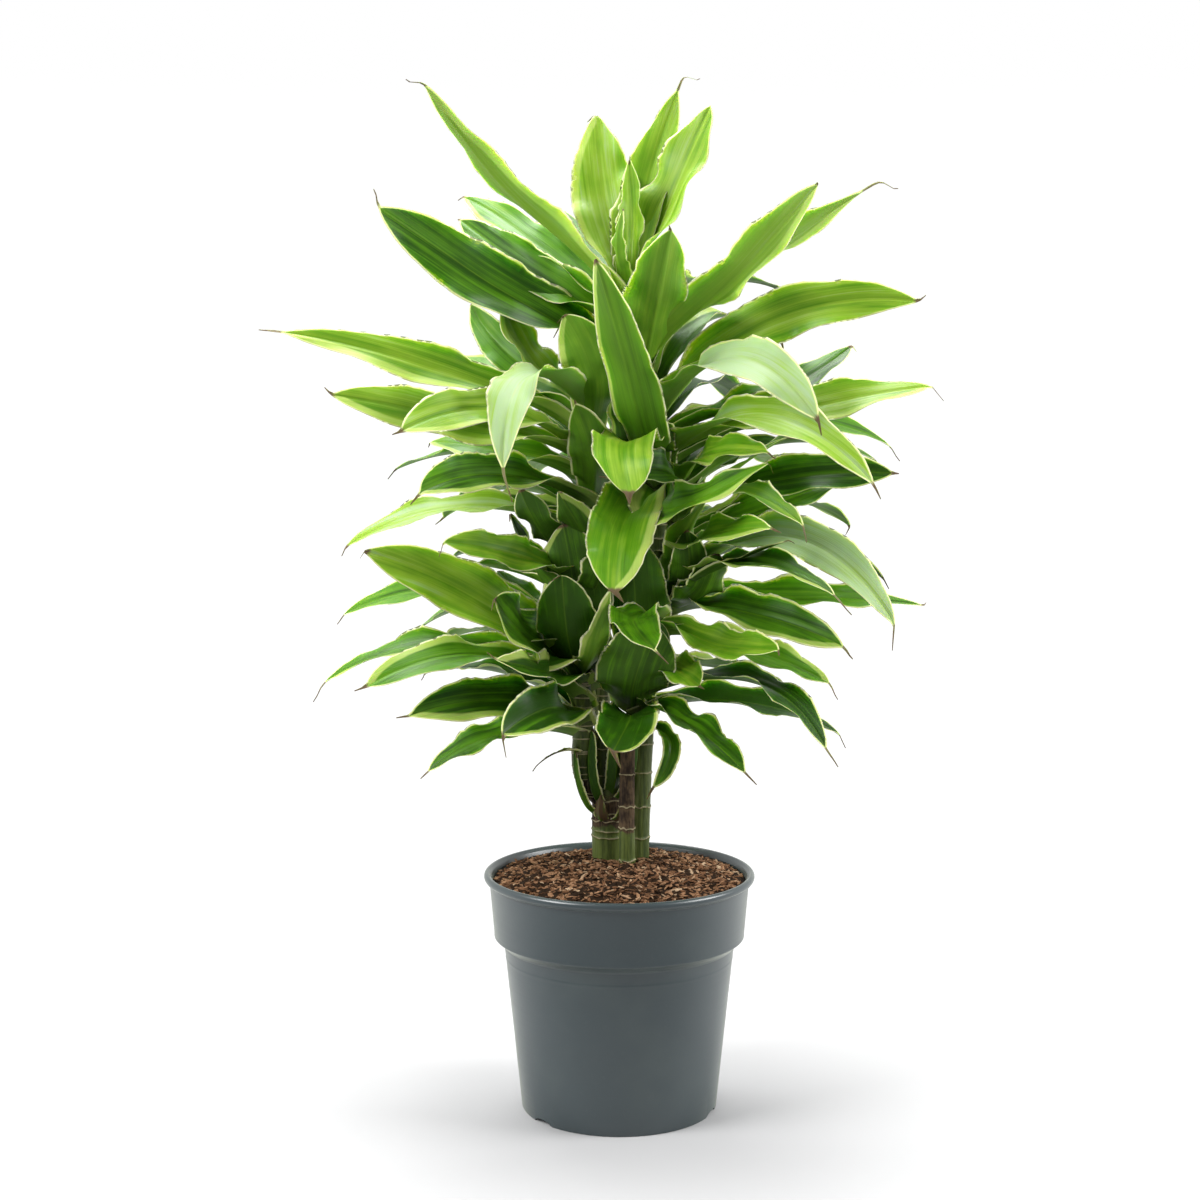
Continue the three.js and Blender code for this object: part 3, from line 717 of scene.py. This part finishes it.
shootRight = {
    "path": [[28, 40, 400], [45, 46, 440], [51, 46, 500], [53, 40, 575]],
    "radii": [7, 7.5, 7, 4.5],
    "leaves": [
        [440, [130, -35, 450], [200, -75, 425], 42, 40],
        [442, [76, -4, 472], [86, -14, 506], 46, 0, broadEnd(0.15)],
        [446, [90, -44, 496], [150, -60, 522], 18, 0, dict(tone=0)],
        [450, [62, -3, 492], [58, -9, 526], 35, 0, broadEnd(0.1)],
        [448, [165, 45, 460], [285, 60, 450], 42, 30],
        [452, [88, -40, 568], [150, -60, 612], 44, 35, dict(tone=0.7)],
        [456, [130, -85, 500], [185, -140, 475], 42, 15],
        [464, [155, -35, 520], [240, -70, 440], 42, 50, dict(tone=1.4, blunt=3.2, tail=0.03)],
        [472, [150, 70, 510], [250, 95, 470]],
        [479, [80, -65, 525], [130, -125, 535], 42, 35, dict(tone=0.6)],
        [487, [95, 135, 530], [135, 230, 495]],
        [495, [140, 100, 545], [225, 155, 515]],
        [503, [145, 60, 545], [225, 100, 570], 38, 40],
        [511, [65, 140, 565], [70, 240, 540]],
        [519, [35, -38, 580], [-15, -60, 570], 38, 55],
        [527, [105, -25, 560], [160, -75, 530], 38, 10, dict(tone=0.7)],
        [534, [150, 0, 570], [245, -15, 575], 42, 50],
        [542, [120, 125, 585], [175, 205, 560]],
        [550, [155, 80, 600], [245, 115, 580]],
        [558, [85, -40, 595], [130, -85, 595], 38, 45, dict(tone=0.75)],
        [566, [85, 135, 600], [110, 230, 580]],
    ],
}
shootLowRight = {
    "path": [[8, 17, 335.3], [18, 6, 385], [30, -6, 430], [34, -12, 455]],
    "radii": [6.4, 6.4, 6, 4],
    "leaves": [
        [345, [46, -30, 334], [28, -35, 297], 17, 15, dict(tone=0.3, blunt=4, tail=0.02)],
        [351, [6, -62, 358], [-6, -98, 341], 52, 0, dict(blunt=5, tail=0.005, band=3)],
        [353, [130, 15, 365], [205, 15, 335], 42, 25],
        [357, [13, -36, 394], [32, -46, 446], 68, 0, broadEnd(0.12)],
        [362, [65, -50, 355], [110, -90, 320], 38, 0],
        [366, [-10, 4, 396], [-8, -2, 438], 34, 0],
        [370, [140, -50, 385], [180, -90, 335], 42, 5],
        [380, [15, -3, 450], [9, -7, 520], 58, 0, broadEnd(0.05)],
        [386, [28, -34, 420], [36, -40, 450], 34, 0, dict(tone=0.2, blunt=5)],
        [394, [95, 45, 395], [180, 75, 355], 36, 0],
        [402, [54, -32, 402], [70, -58, 392], 36, 25, dict(tone=0.8)],
        [428, [115, -25, 420], [190, -45, 390], 38, 30],
        [436, [90, -75, 430], [135, -135, 435], 38, 35],
        [444, [12, -60, 452], [32, -122, 430], 42, 0, dict(tone=0.3, blunt=4)],
    ],
}


# pot

potShape = {
    "height": 216.0, "rimRadius": 122.0, "baseRadius": 88.5, "wall": 2.4, "floor": 6.0,
    "lip": 7.0, "collarTop": 117.0, "collarFoot": 113.0, "collarFootZ": 161.0,
    "stepRadius": 104.6, "stepZ": 152.0, "bodyTop": 102.6, "bodyTopZ": 138.0,
    "beadZ": 140.0, "beadRise": 0.25,
    "drainCircle": 62.0, "firstNotch": -140.0,
}
potInputs = {"Sides": 160, "Corner Radius": 1.2, "Notches": 3, "Notch Width": 24.0, "Notch Height": 4.0,
             "Drain Radius": 4.5}


def bodyRadius(z):
    p = SimpleNamespace(**potShape)
    return p.baseRadius + (p.bodyTop - p.baseRadius) * z / p.bodyTopZ


def insideRadius(z):
    p = SimpleNamespace(**potShape)
    if z > p.collarFootZ:
        share = (z - p.collarFootZ) / (p.height - p.collarFootZ)
        return p.collarFoot + (p.collarTop - p.collarFoot) * share - p.wall
    return bodyRadius(z) - p.wall


def potProfile():
    p = SimpleNamespace(**potShape)
    base, top, foot = p.baseRadius, p.height, p.collarFootZ
    outside = [(0.01, 0), (base - 8, 0), (base - 7, 1.4), (base - 3.5, 1.4), (base - 2.6, 0), (base, 0)]
    outside += [(bodyRadius(z) + rise, z) for z, rise in (
        (30, 0), (60, 0), (90, 0), (115, 0),
        (p.beadZ - 4, 0), (p.beadZ - 1.5, p.beadRise), (p.beadZ, 0))]
    outside += [(p.stepRadius - 0.4, p.stepZ - 2), (p.stepRadius + 1.2, p.stepZ),
                (p.stepRadius + 2.6, p.stepZ + 1.4), (p.collarFoot, foot - 3), (p.collarFoot, foot),
                (p.collarTop, top - p.lip - 1.4), (p.rimRadius - 1.6, top - p.lip)]
    lip = [(p.rimRadius - 3.1 + 3.1 * math.cos(a), top - p.lip / 2 + 3.5 * math.sin(a))
           for a in np.linspace(-1.1, 1.9, 11)]
    inside = [(insideRadius(top) + 0.8, top - 2.6), (insideRadius(top - 6), top - 6),
              (p.collarFoot - p.wall, foot), (p.stepRadius - p.wall, p.stepZ + 2),
              (insideRadius(p.bodyTopZ), p.bodyTopZ), (insideRadius(p.floor), p.floor), (0.01, p.floor)]
    return outside + lip + inside


def potTree():
    tree, group = newTree("pot", potInputs)
    position = geo(tree, "InputPosition")
    wall = geo(tree, "MeshToCurve", {"Mesh": group["Geometry"]})
    wall = geo(tree, "FilletCurve",
               {"Curve": wall, "Radius": group["Corner Radius"] * mm, "Limit Radius": True, "Count": 2},
               mode="POLY")
    wall = keep(wall, "profile", position)
    ring = geo(tree, "CurvePrimitiveCircle", {"Resolution": group["Sides"]})
    ring = keep(ring, "round", position)
    shell = geo(tree, "CurveToMesh", {"Curve": ring, "Profile Curve": wall})
    radius, height, _ = apart(readAttribute(tree, "profile", "FLOAT_VECTOR"))
    spot = scaled(readAttribute(tree, "round", "FLOAT_VECTOR"), radius) + combine(0.0, 0.0, height)
    shell = alter(shell, "SetPosition", Position=spot)
    shell = alter(shell, "MergeByDistance", Distance=0.05 * mm)

    firstTurn = (0, 0, math.radians(potShape["firstNotch"]))
    for reach, cutter in ((potShape["baseRadius"] - 5, notchCutter(tree, group)),
                          (potShape["drainCircle"], drainCutter(tree, group))):
        circle = geo(tree, "CurvePrimitiveCircle",
                     {"Resolution": group["Notches"], "Radius": reach * mm})
        circle = alter(circle, "Transform", Rotation=firstTurn)
        spots = geo(tree, "CurveToPoints", {"Curve": circle}, mode="EVALUATED")
        outward = field(tree, "FunctionNodeAlignRotationToVector", {"Vector": position}, axis="X")
        cut = geo(tree, "InstanceOnPoints", {"Points": spots, "Instance": cutter, "Rotation": outward})
        cut = alter(cut, "RealizeInstances")
        shell = geo(tree, "MeshBoolean", {"Mesh 1": shell, "Mesh 2": cut},
                    operation="DIFFERENCE", solver="EXACT")
    return closeTree(tree, group, shell)


def notchCutter(tree, group):
    bar = geo(tree, "MeshCylinder", {"Vertices": 24, "Radius": 1.0, "Depth": 60 * mm})
    bar = alter(bar, "Transform", Rotation=(0, math.pi / 2, 0))
    size = combine(1.0, group["Notch Width"] * (mm / 2), group["Notch Height"] * mm)
    return alter(bar, "Transform", Scale=size)


def drainCutter(tree, group):
    return geo(tree, "MeshCylinder",
               {"Vertices": 24, "Radius": group["Drain Radius"] * mm, "Depth": 40 * mm})


def makePot():
    line = np.array([(r * mm, z * mm, 0) for r, z in potProfile()])
    guide = guideMesh("potGuide", [line], {})
    pot = growPiece("pottedWall", guide, potTree(), potInputs, plasticMaterial())
    shadeByAngle(pot.data, 40)
    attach(pot, "root")
    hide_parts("pot")
    print("pot made:", len(pot.data.polygons), "faces")


def shadeByAngle(mesh, degrees):
    work = bmesh.new()
    work.from_mesh(mesh)
    for face in work.faces:
        face.smooth = True
    for edge in work.edges:
        edge.smooth = edge.calc_face_angle(0) < math.radians(degrees)
    work.to_mesh(mesh)
    work.free()


# compost

soilShape = {
    "wallZ": 209.5,         # mm, where the compost meets the wall
    "topZ": 220.0,          # the mound round the canes
    "gap": 0.3,             # to the pot's wall
    "under": 1.0,           # how far the bed lies under the loose bark on it
    "clods": 1.2,           # height of the wide bumps, of those between them and of the small ones
    "lumps": 0.8,
    "crumbs": 1.6,
    "rings": 56,
    "sides": 180,
}
chipInputs = {
    "Density": 52000.0,     # to the square metre; the lengths are in mm
    "Reach": 111.0, "Seed": 3, "Longest": 12.0, "Shortest": 3.6, "Ruggedness": 3.0,
}
fibreInputs = {**chipInputs, "Density": 11000.0, "Seed": 11, "Longest": 17.0, "Ruggedness": 6.0}
chipShape = {
    "above": 0.19,          # metres; only the bed's top carries chips
    "width": (0.15, 0.5),   # share of the shortest chip, from and to
    "depth": (0.1, 0.28),
    "tilt": (0.5, 0.45),    # radians either way, round the two level axes
    "lumpScale": 320.0,
}


def soilHeight(x, y):
    look = SimpleNamespace(**soilShape)
    radius, wall = np.hypot(x, y), insideRadius(look.wallZ)
    mound = look.wallZ + (look.topZ - look.wallZ) * (1 - np.minimum(radius / wall, 1) ** 3)
    clods = look.clods * np.sin(x * 0.13 + 1) * np.cos(y * 0.11)
    lumps = look.lumps * np.sin(x * 0.29 - y * 0.23)
    crumbs = look.crumbs * np.sin(x * 0.52 + 1.7 * np.sin(y * 0.33))
    crumbs = crumbs * np.cos(y * 0.47 + 1.3 * np.sin(x * 0.29))
    return mound + (clods + lumps + crumbs) * np.clip((wall - radius) / 12, 0, 1)


def soilRings():
    p = SimpleNamespace(**potShape)
    gap, wall = soilShape["gap"], insideRadius(soilShape["wallZ"]) - soilShape["gap"]
    turn = np.linspace(0, 2 * math.pi, soilShape["sides"], endpoint=False)
    rings = []
    for radius in wall * np.linspace(0.004, 1, soilShape["rings"]):
        x, y = radius * np.cos(turn), radius * np.sin(turn)
        rings.append(np.stack([x, y, soilHeight(x, y) - soilShape["under"]], axis=1))
    inset = gap + 0.4
    for radius, z in ((p.collarFoot - p.wall - inset, p.collarFootZ + 1),
                      (p.stepRadius - p.wall - inset, p.stepZ + 2),
                      (insideRadius(p.bodyTopZ) - inset, p.bodyTopZ),
                      (insideRadius(p.floor) - inset, p.floor + gap),
                      (0.5, p.floor + gap)):
        x, y = radius * np.cos(turn), radius * np.sin(turn)
        rings.append(np.stack([x, y, np.full_like(turn, z)], axis=1))
    return rings


def makeSoil():
    rings = soilRings()
    sides = soilShape["sides"]
    points = np.concatenate(rings) * mm
    faces = []
    for row in range(0, len(points) - sides, sides):
        for i in range(sides):
            after = (i + 1) % sides
            faces.append((row + i, row + after, row + sides + after, row + sides + i))
    faces.append(tuple(range(sides)))
    faces.append(tuple(range(len(points) - sides, len(points))))
    mesh = bpy.data.meshes.new("compostBed")
    mesh.from_pydata(points.tolist(), [], faces)
    faceOutwards(mesh)
    for face in mesh.polygons:
        face.use_smooth = True
    material = compostMaterial()
    mesh.materials.append(material)
    pieces = [addObject("compostBed", mesh)]
    tree = chipTree()
    for name, inputs in (("barkChips", chipInputs), ("barkFibres", fibreInputs)):
        pieces.append(growPiece(name, mesh.copy(), tree, inputs, material))
    for piece in pieces:
        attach(piece, "root")
        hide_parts("soil")
        print(piece.name, "made:", len(piece.data.polygons), "faces")


def chipTree():
    look = SimpleNamespace(**chipShape)
    tree, group = newTree("chips", chipInputs)
    position = geo(tree, "InputPosition")
    radius = lengthOf(position * (1, 1, 0))
    within = calc("LESS_THAN", radius, group["Reach"] * mm)
    onTop = calc("GREATER_THAN", apart(position)[2], look.above)
    points = geo(tree, "DistributePointsOnFaces",
                 {"Mesh": group["Geometry"], "Selection": within * onTop, "Density": group["Density"],
                  "Seed": group["Seed"]})
    longest, shortest = group["Longest"] * mm, group["Shortest"] * mm
    size = combine(randomBetween(tree, shortest, longest, 1) * 0.5,
                   shortest * randomBetween(tree, *look.width, 2),
                   shortest * randomBetween(tree, *look.depth, 3))
    first, second = look.tilt
    tilt = combine(randomBetween(tree, -first, first, 4), randomBetween(tree, -second, second, 5),
                   randomBetween(tree, 0.0, 2 * math.pi, 6))
    chip = geo(tree, "MeshIcoSphere", {"Radius": 1.0, "Subdivisions": 2})
    turned = field(tree, "FunctionNodeEulerToRotation", {0: tilt})
    chips = geo(tree, "InstanceOnPoints",
                {"Points": points, "Instance": chip, "Rotation": turned, "Scale": size})
    chips = keep(chips, "chipTone", randomBetween(tree, 0.0, 1.0, 7), "FLOAT", "INSTANCE")
    chips = alter(chips, "RealizeInstances")
    push = scaled(noiseAt(position, look.lumpScale, 1.0, 1) - (0.5, 0.5, 0.5), group["Ruggedness"] * mm)
    chips = alter(chips, "SetPosition", Offset=push)
    return closeTree(tree, group, chips)


def randomBetween(tree, low, high, seed):
    return field(tree, "FunctionNodeRandomValue", {"Min": low, "Max": high, "Seed": seed}, "Value",
                 data_type="FLOAT")


# finishes

def surface(tree, name):
    return field(tree, "ShaderNodeAttribute", output="Fac", attribute_name=name)


leafFinish = {
    "darkGreen": (0.018, 0.068, 0.002),
    "midGreen": (0.085, 0.24, 0.005),
    "lightGreen": (0.27, 0.43, 0.030),
    # pale grey-green painted sheen, laid on the brightest streaks and leaves in place of a glossy
    # reflection
    "waxy": (0.34, 0.47, 0.25),
    "lime": (0.48, 0.60, 0.14),
    "cream": (0.80, 0.84, 0.42),
    "underside": (0.19, 0.35, 0.035),
    "sheath": (0.40, 0.50, 0.16),
    "dry": (0.13, 0.085, 0.045),
    "fineStreaks": 0.5,     # how much darker or lighter the streaks and patches make the green
    "broadStreaks": 1.06,
    "patches": 0.5,
    "glow": 0.40,           # how much light passes into the leaf
    "glowDepth": 0.0016,    # metres
    "glowReach": (0.6, 1.0, 0.15),
    "shine": 0.2,           # 0.5 is a usual plastic
    "roughness": 0.36,
    "undersideRoughness": 0.5,
}


def leafMaterial():
    look = SimpleNamespace(**leafFinish)
    material, tree, shader = newMaterial("leafSkin")
    u, along, _ = apart(field(tree, "ShaderNodeUVMap", uv_map="UVMap"))
    share = u * 2.0 - 1.0
    face, half, seed, tone, margin, band, dryness = (
        surface(tree, name)
        for name in ("face", "halfWidth", "seed", "tone", "margin", "band", "dryness"))
    sideways, fromEdge = share * half, (1.0 - abs(share)) * half

    def streaks(perMm, perLeaf, detail=3.0):
        return noiseAt(combine(sideways * perMm, along * perLeaf, seed * 370.0), 1.0, detail)

    fineStreak, broadStreak = streaks(1.1, 3.0, 2.0), streaks(0.2, 1.6, 2.0)
    patches = streaks(0.07, 7.0, 2.0)
    shade = (tone + (fineStreak - 0.5) * look.fineStreaks + (broadStreak - 0.5) * look.broadStreaks
             + (patches - 0.5) * look.patches)
    green = blendColor(stepUp(shade, 0.0, 0.55), look.darkGreen, look.midGreen)
    color = blendColor(stepUp(shade, 0.5, 1.15), green, look.lightGreen)
    # where tone and streaks run highest the green turns pale grey-green: a painted sheen
    color = blendColor(stepUp(shade, 0.95, 1.5) * 0.9, color, look.waxy)
    nearRib = 1.0 - stepUp(abs(sideways), 0.2, 0.9)
    color = blendColor(nearRib * 0.15, color, look.lightGreen)
    below = calc("LESS_THAN", face, 0.0)
    color = blendColor(below * (tone * 0.5 + 0.1), color, look.underside)

    # a lime edge, wider where the leaf has a band on that side, and a cream line at the very edge
    wander = streaks(0.6, 16.0) * 1.6 - 0.8
    onBandSide = calc("GREATER_THAN", band * share, 0.0)
    limeFrom = calc("MAXIMUM", abs(band) * onBandSide, margin * 0.8)
    limeEdge = 1.0 - stepUp(fromEdge + wander, limeFrom, limeFrom * 1.25 + 0.8)
    color = blendColor(limeEdge * (fineStreak * 0.4 + 0.5), color, look.lime)
    creamEdge = 1.0 - stepUp(fromEdge + wander * 0.4, margin * 0.6, margin + 0.3)
    color = blendColor(creamEdge * 0.9, color, look.cream)

    # a pale root, and a dry brown tip
    color = blendColor((1.0 - stepUp(along, 0.02, 0.14)) * 0.5, color, look.sheath)
    burnt = stepUp(fineStreak * 0.02 + along, 0.968, 0.985)
    thinTip = (1.0 - stepUp(half, 1.3, 2.0)) * stepUp(along, 0.7, 0.8)
    burnt = calc("MAXIMUM", burnt, thinTip * 0.85)
    burnt = calc("MAXIMUM", burnt, dryness * stepUp(broadStreak, 0.3, 0.5))
    color = blendColor(burnt, color, look.dry)

    rough = below * (look.undersideRoughness - look.roughness) + look.roughness
    rough = rough + burnt * 0.3 + broadStreak * 0.16 - 0.06
    fill(shader, {"Base Color": color, "Roughness": rough, "Specular IOR Level": look.shine,
                  "Subsurface Weight": look.glow, "Subsurface Radius": look.glowReach,
                  "Subsurface Scale": look.glowDepth, "Normal": bumpFrom(fineStreak, 0.3, 0.6 * mm)})
    return material


barkFinish = {
    "brown": (0.13, 0.085, 0.045),
    "darkBrown": (0.022, 0.013, 0.008),
    "green": (0.13, 0.17, 0.035),
    "darkGreen": (0.040, 0.062, 0.012),
    "strip": (0.42, 0.44, 0.24),
    "scar": (0.46, 0.40, 0.24),
}

# each bark is green with a ragged brown stretch: from and to, in metres above the floor, and how
# strongly the pale remains of sheaths show above it
barkStretches = {
    "brownBark": (0.249, 0.280, 0.8),
    "thinBark": (0.250, 0.345, 0.0),
    "greenBark": (-0.2, -0.1, 0.15),
    "stemSkin": (0.262, 0.292, 0.5),
}


def barkMaterial(name, brownFrom, brownTo, strips):
    look = SimpleNamespace(**barkFinish)
    material, tree, shader = newMaterial(name)
    place = objectPlace(tree)
    fibre = noiseAt(stretched(place, (1.0, 1.0, 0.12)), 900.0, 4.0)
    blotch = noiseAt(place, 110.0, 3.0)
    husk = noiseAt(stretched(place, (1.0, 1.0, 0.05)), 230.0, 1.0)
    brown = blendColor(stepUp(blotch * 0.6 + fibre * 0.5, 0.40, 0.72), look.darkBrown, look.brown)
    green = blendColor(stepUp(husk * 0.8 + fibre * 0.4, 0.35, 0.85), look.darkGreen, look.green)
    z = apart(place)[2]
    ragged = blotch * 0.03 + (z - 0.015)
    isBrown = (stepUp(ragged, brownFrom - 0.002, brownFrom + 0.002)
               - stepUp(ragged, brownTo - 0.006, brownTo + 0.006))
    color = blendColor(isBrown, green, brown)
    pale = stepUp(husk, 0.60, 0.64) * stepUp(z, brownTo - 0.01, brownTo + 0.01)
    color = blendColor(pale * strips, color, look.strip)
    scar = stepUp(surface(tree, "scar") * blotch, 0.22, 0.42)
    color = blendColor(scar * 0.8, color, look.scar)
    fill(shader, {"Base Color": color, "Roughness": isBrown * 0.35 + 0.5, "Specular IOR Level": 0.3,
                  "Normal": bumpFrom(fibre, 0.5, 0.8 * mm)})
    return material


plasticFinish = {
    "color": (0.032, 0.050, 0.056),
    "scuffed": (0.052, 0.074, 0.074),
    "roughness": 0.31,
    "shine": 0.9,           # 0.5 is a usual plastic
    "bloom": 0.45,          # the pale haze seen at a flat angle
    "bloomTint": (0.86, 0.92, 0.74),
}


def plasticMaterial():
    look = SimpleNamespace(**plasticFinish)
    material, tree, shader = newMaterial("potPlastic")
    place = objectPlace(tree)
    cloud = noiseAt(place, 14.0, 3.0)
    turnLines = noiseAt(stretched(place, (0.15, 0.15, 6.0)), 60.0, 3.0)
    dust = noiseAt(place, 260.0, 2.0)
    color = blendColor(stepUp(cloud, 0.45, 0.75) * 0.5, look.color, look.scuffed)
    color = blendColor(stepUp(dust, 0.6, 0.8) * 0.25, color, look.scuffed)
    rough = cloud * 0.14 + turnLines * 0.06 + (look.roughness - 0.07)
    fill(shader, {"Base Color": color, "Roughness": rough, "Specular IOR Level": look.shine,
                  "Sheen Weight": look.bloom, "Sheen Roughness": 0.3,
                  "Sheen Tint": (*look.bloomTint, 1.0),
                  "Normal": bumpFrom(dust * 0.35 + turnLines, 0.12, 0.6 * mm)})
    return material


compostFinish = {
    "dark": (0.022, 0.011, 0.005),
    "brown": (0.20, 0.097, 0.048),
    "red": (0.37, 0.205, 0.11),
    "pale": (0.55, 0.40, 0.26),
}


def compostMaterial():
    look = SimpleNamespace(**compostFinish)
    material, tree, shader = newMaterial("compostCrumb")
    place = objectPlace(tree)
    tone = surface(tree, "chipTone")
    grain, clump = noiseAt(place, 700.0, 4.0), noiseAt(place, 90.0, 2.0)
    mixed = grain * 0.5 + clump * 0.3 + (tone - 0.4)
    color = blendColor(stepUp(mixed, 0.0, 0.45), look.dark, look.brown)
    color = blendColor(stepUp(mixed, 0.45, 0.85), color, look.red)
    color = blendColor(stepUp(tone, 0.90, 0.97) * 0.8, color, look.pale)
    fill(shader, {"Base Color": color, "Roughness": 0.9, "Specular IOR Level": 0.15,
                  "Normal": bumpFrom(grain, 0.6, 1.0 * mm)})
    return material


# everything in its place

makeCamera()
makeStudio()
makeFloor()
print("camera, light and floor made")

makePot()
makeSoil()

stalks = stalkTree()
barks = {name: barkMaterial(name, *values) for name, values in barkStretches.items()}
for name, node, each, slot, bark in (
        ("caneLeft", "cane_left", caneLeft, "brown_bark", "brownBark"),
        ("caneMiddle", "cane_middle", caneMiddle, "brown_bark", "thinBark"),
        ("caneRight", "cane_right", caneRight, "green_bark", "greenBark")):
    makeStalk(name, node, each, stalks, caneInputs, barks[bark])
    print(name, "made")

chance = np.random.default_rng(randomSeed)
blades = leafTree()
leafSkin = leafMaterial()
for name, node, shoot in (
        ("top", "shoot_top", shootTop),
        ("upperLeft", "shoot_upper_left", shootUpperLeft),
        ("left", "shoot_left", shootLeft),
        ("right", "shoot_right", shootRight),
        ("lowRight", "shoot_low_right", shootLowRight)):
    makeLeaves(name + "Leaves", node, shoot, blades, leafInputs, leafSkin, chance)
    makeStalk(name + "Stem", node, shoot, stalks, stemInputs, barks["stemSkin"])
makeLeaves("caneSheaths", "cane_left", caneSheaths, blades, sheathInputs, leafSkin, chance)

bpy.context.view_layer.update()
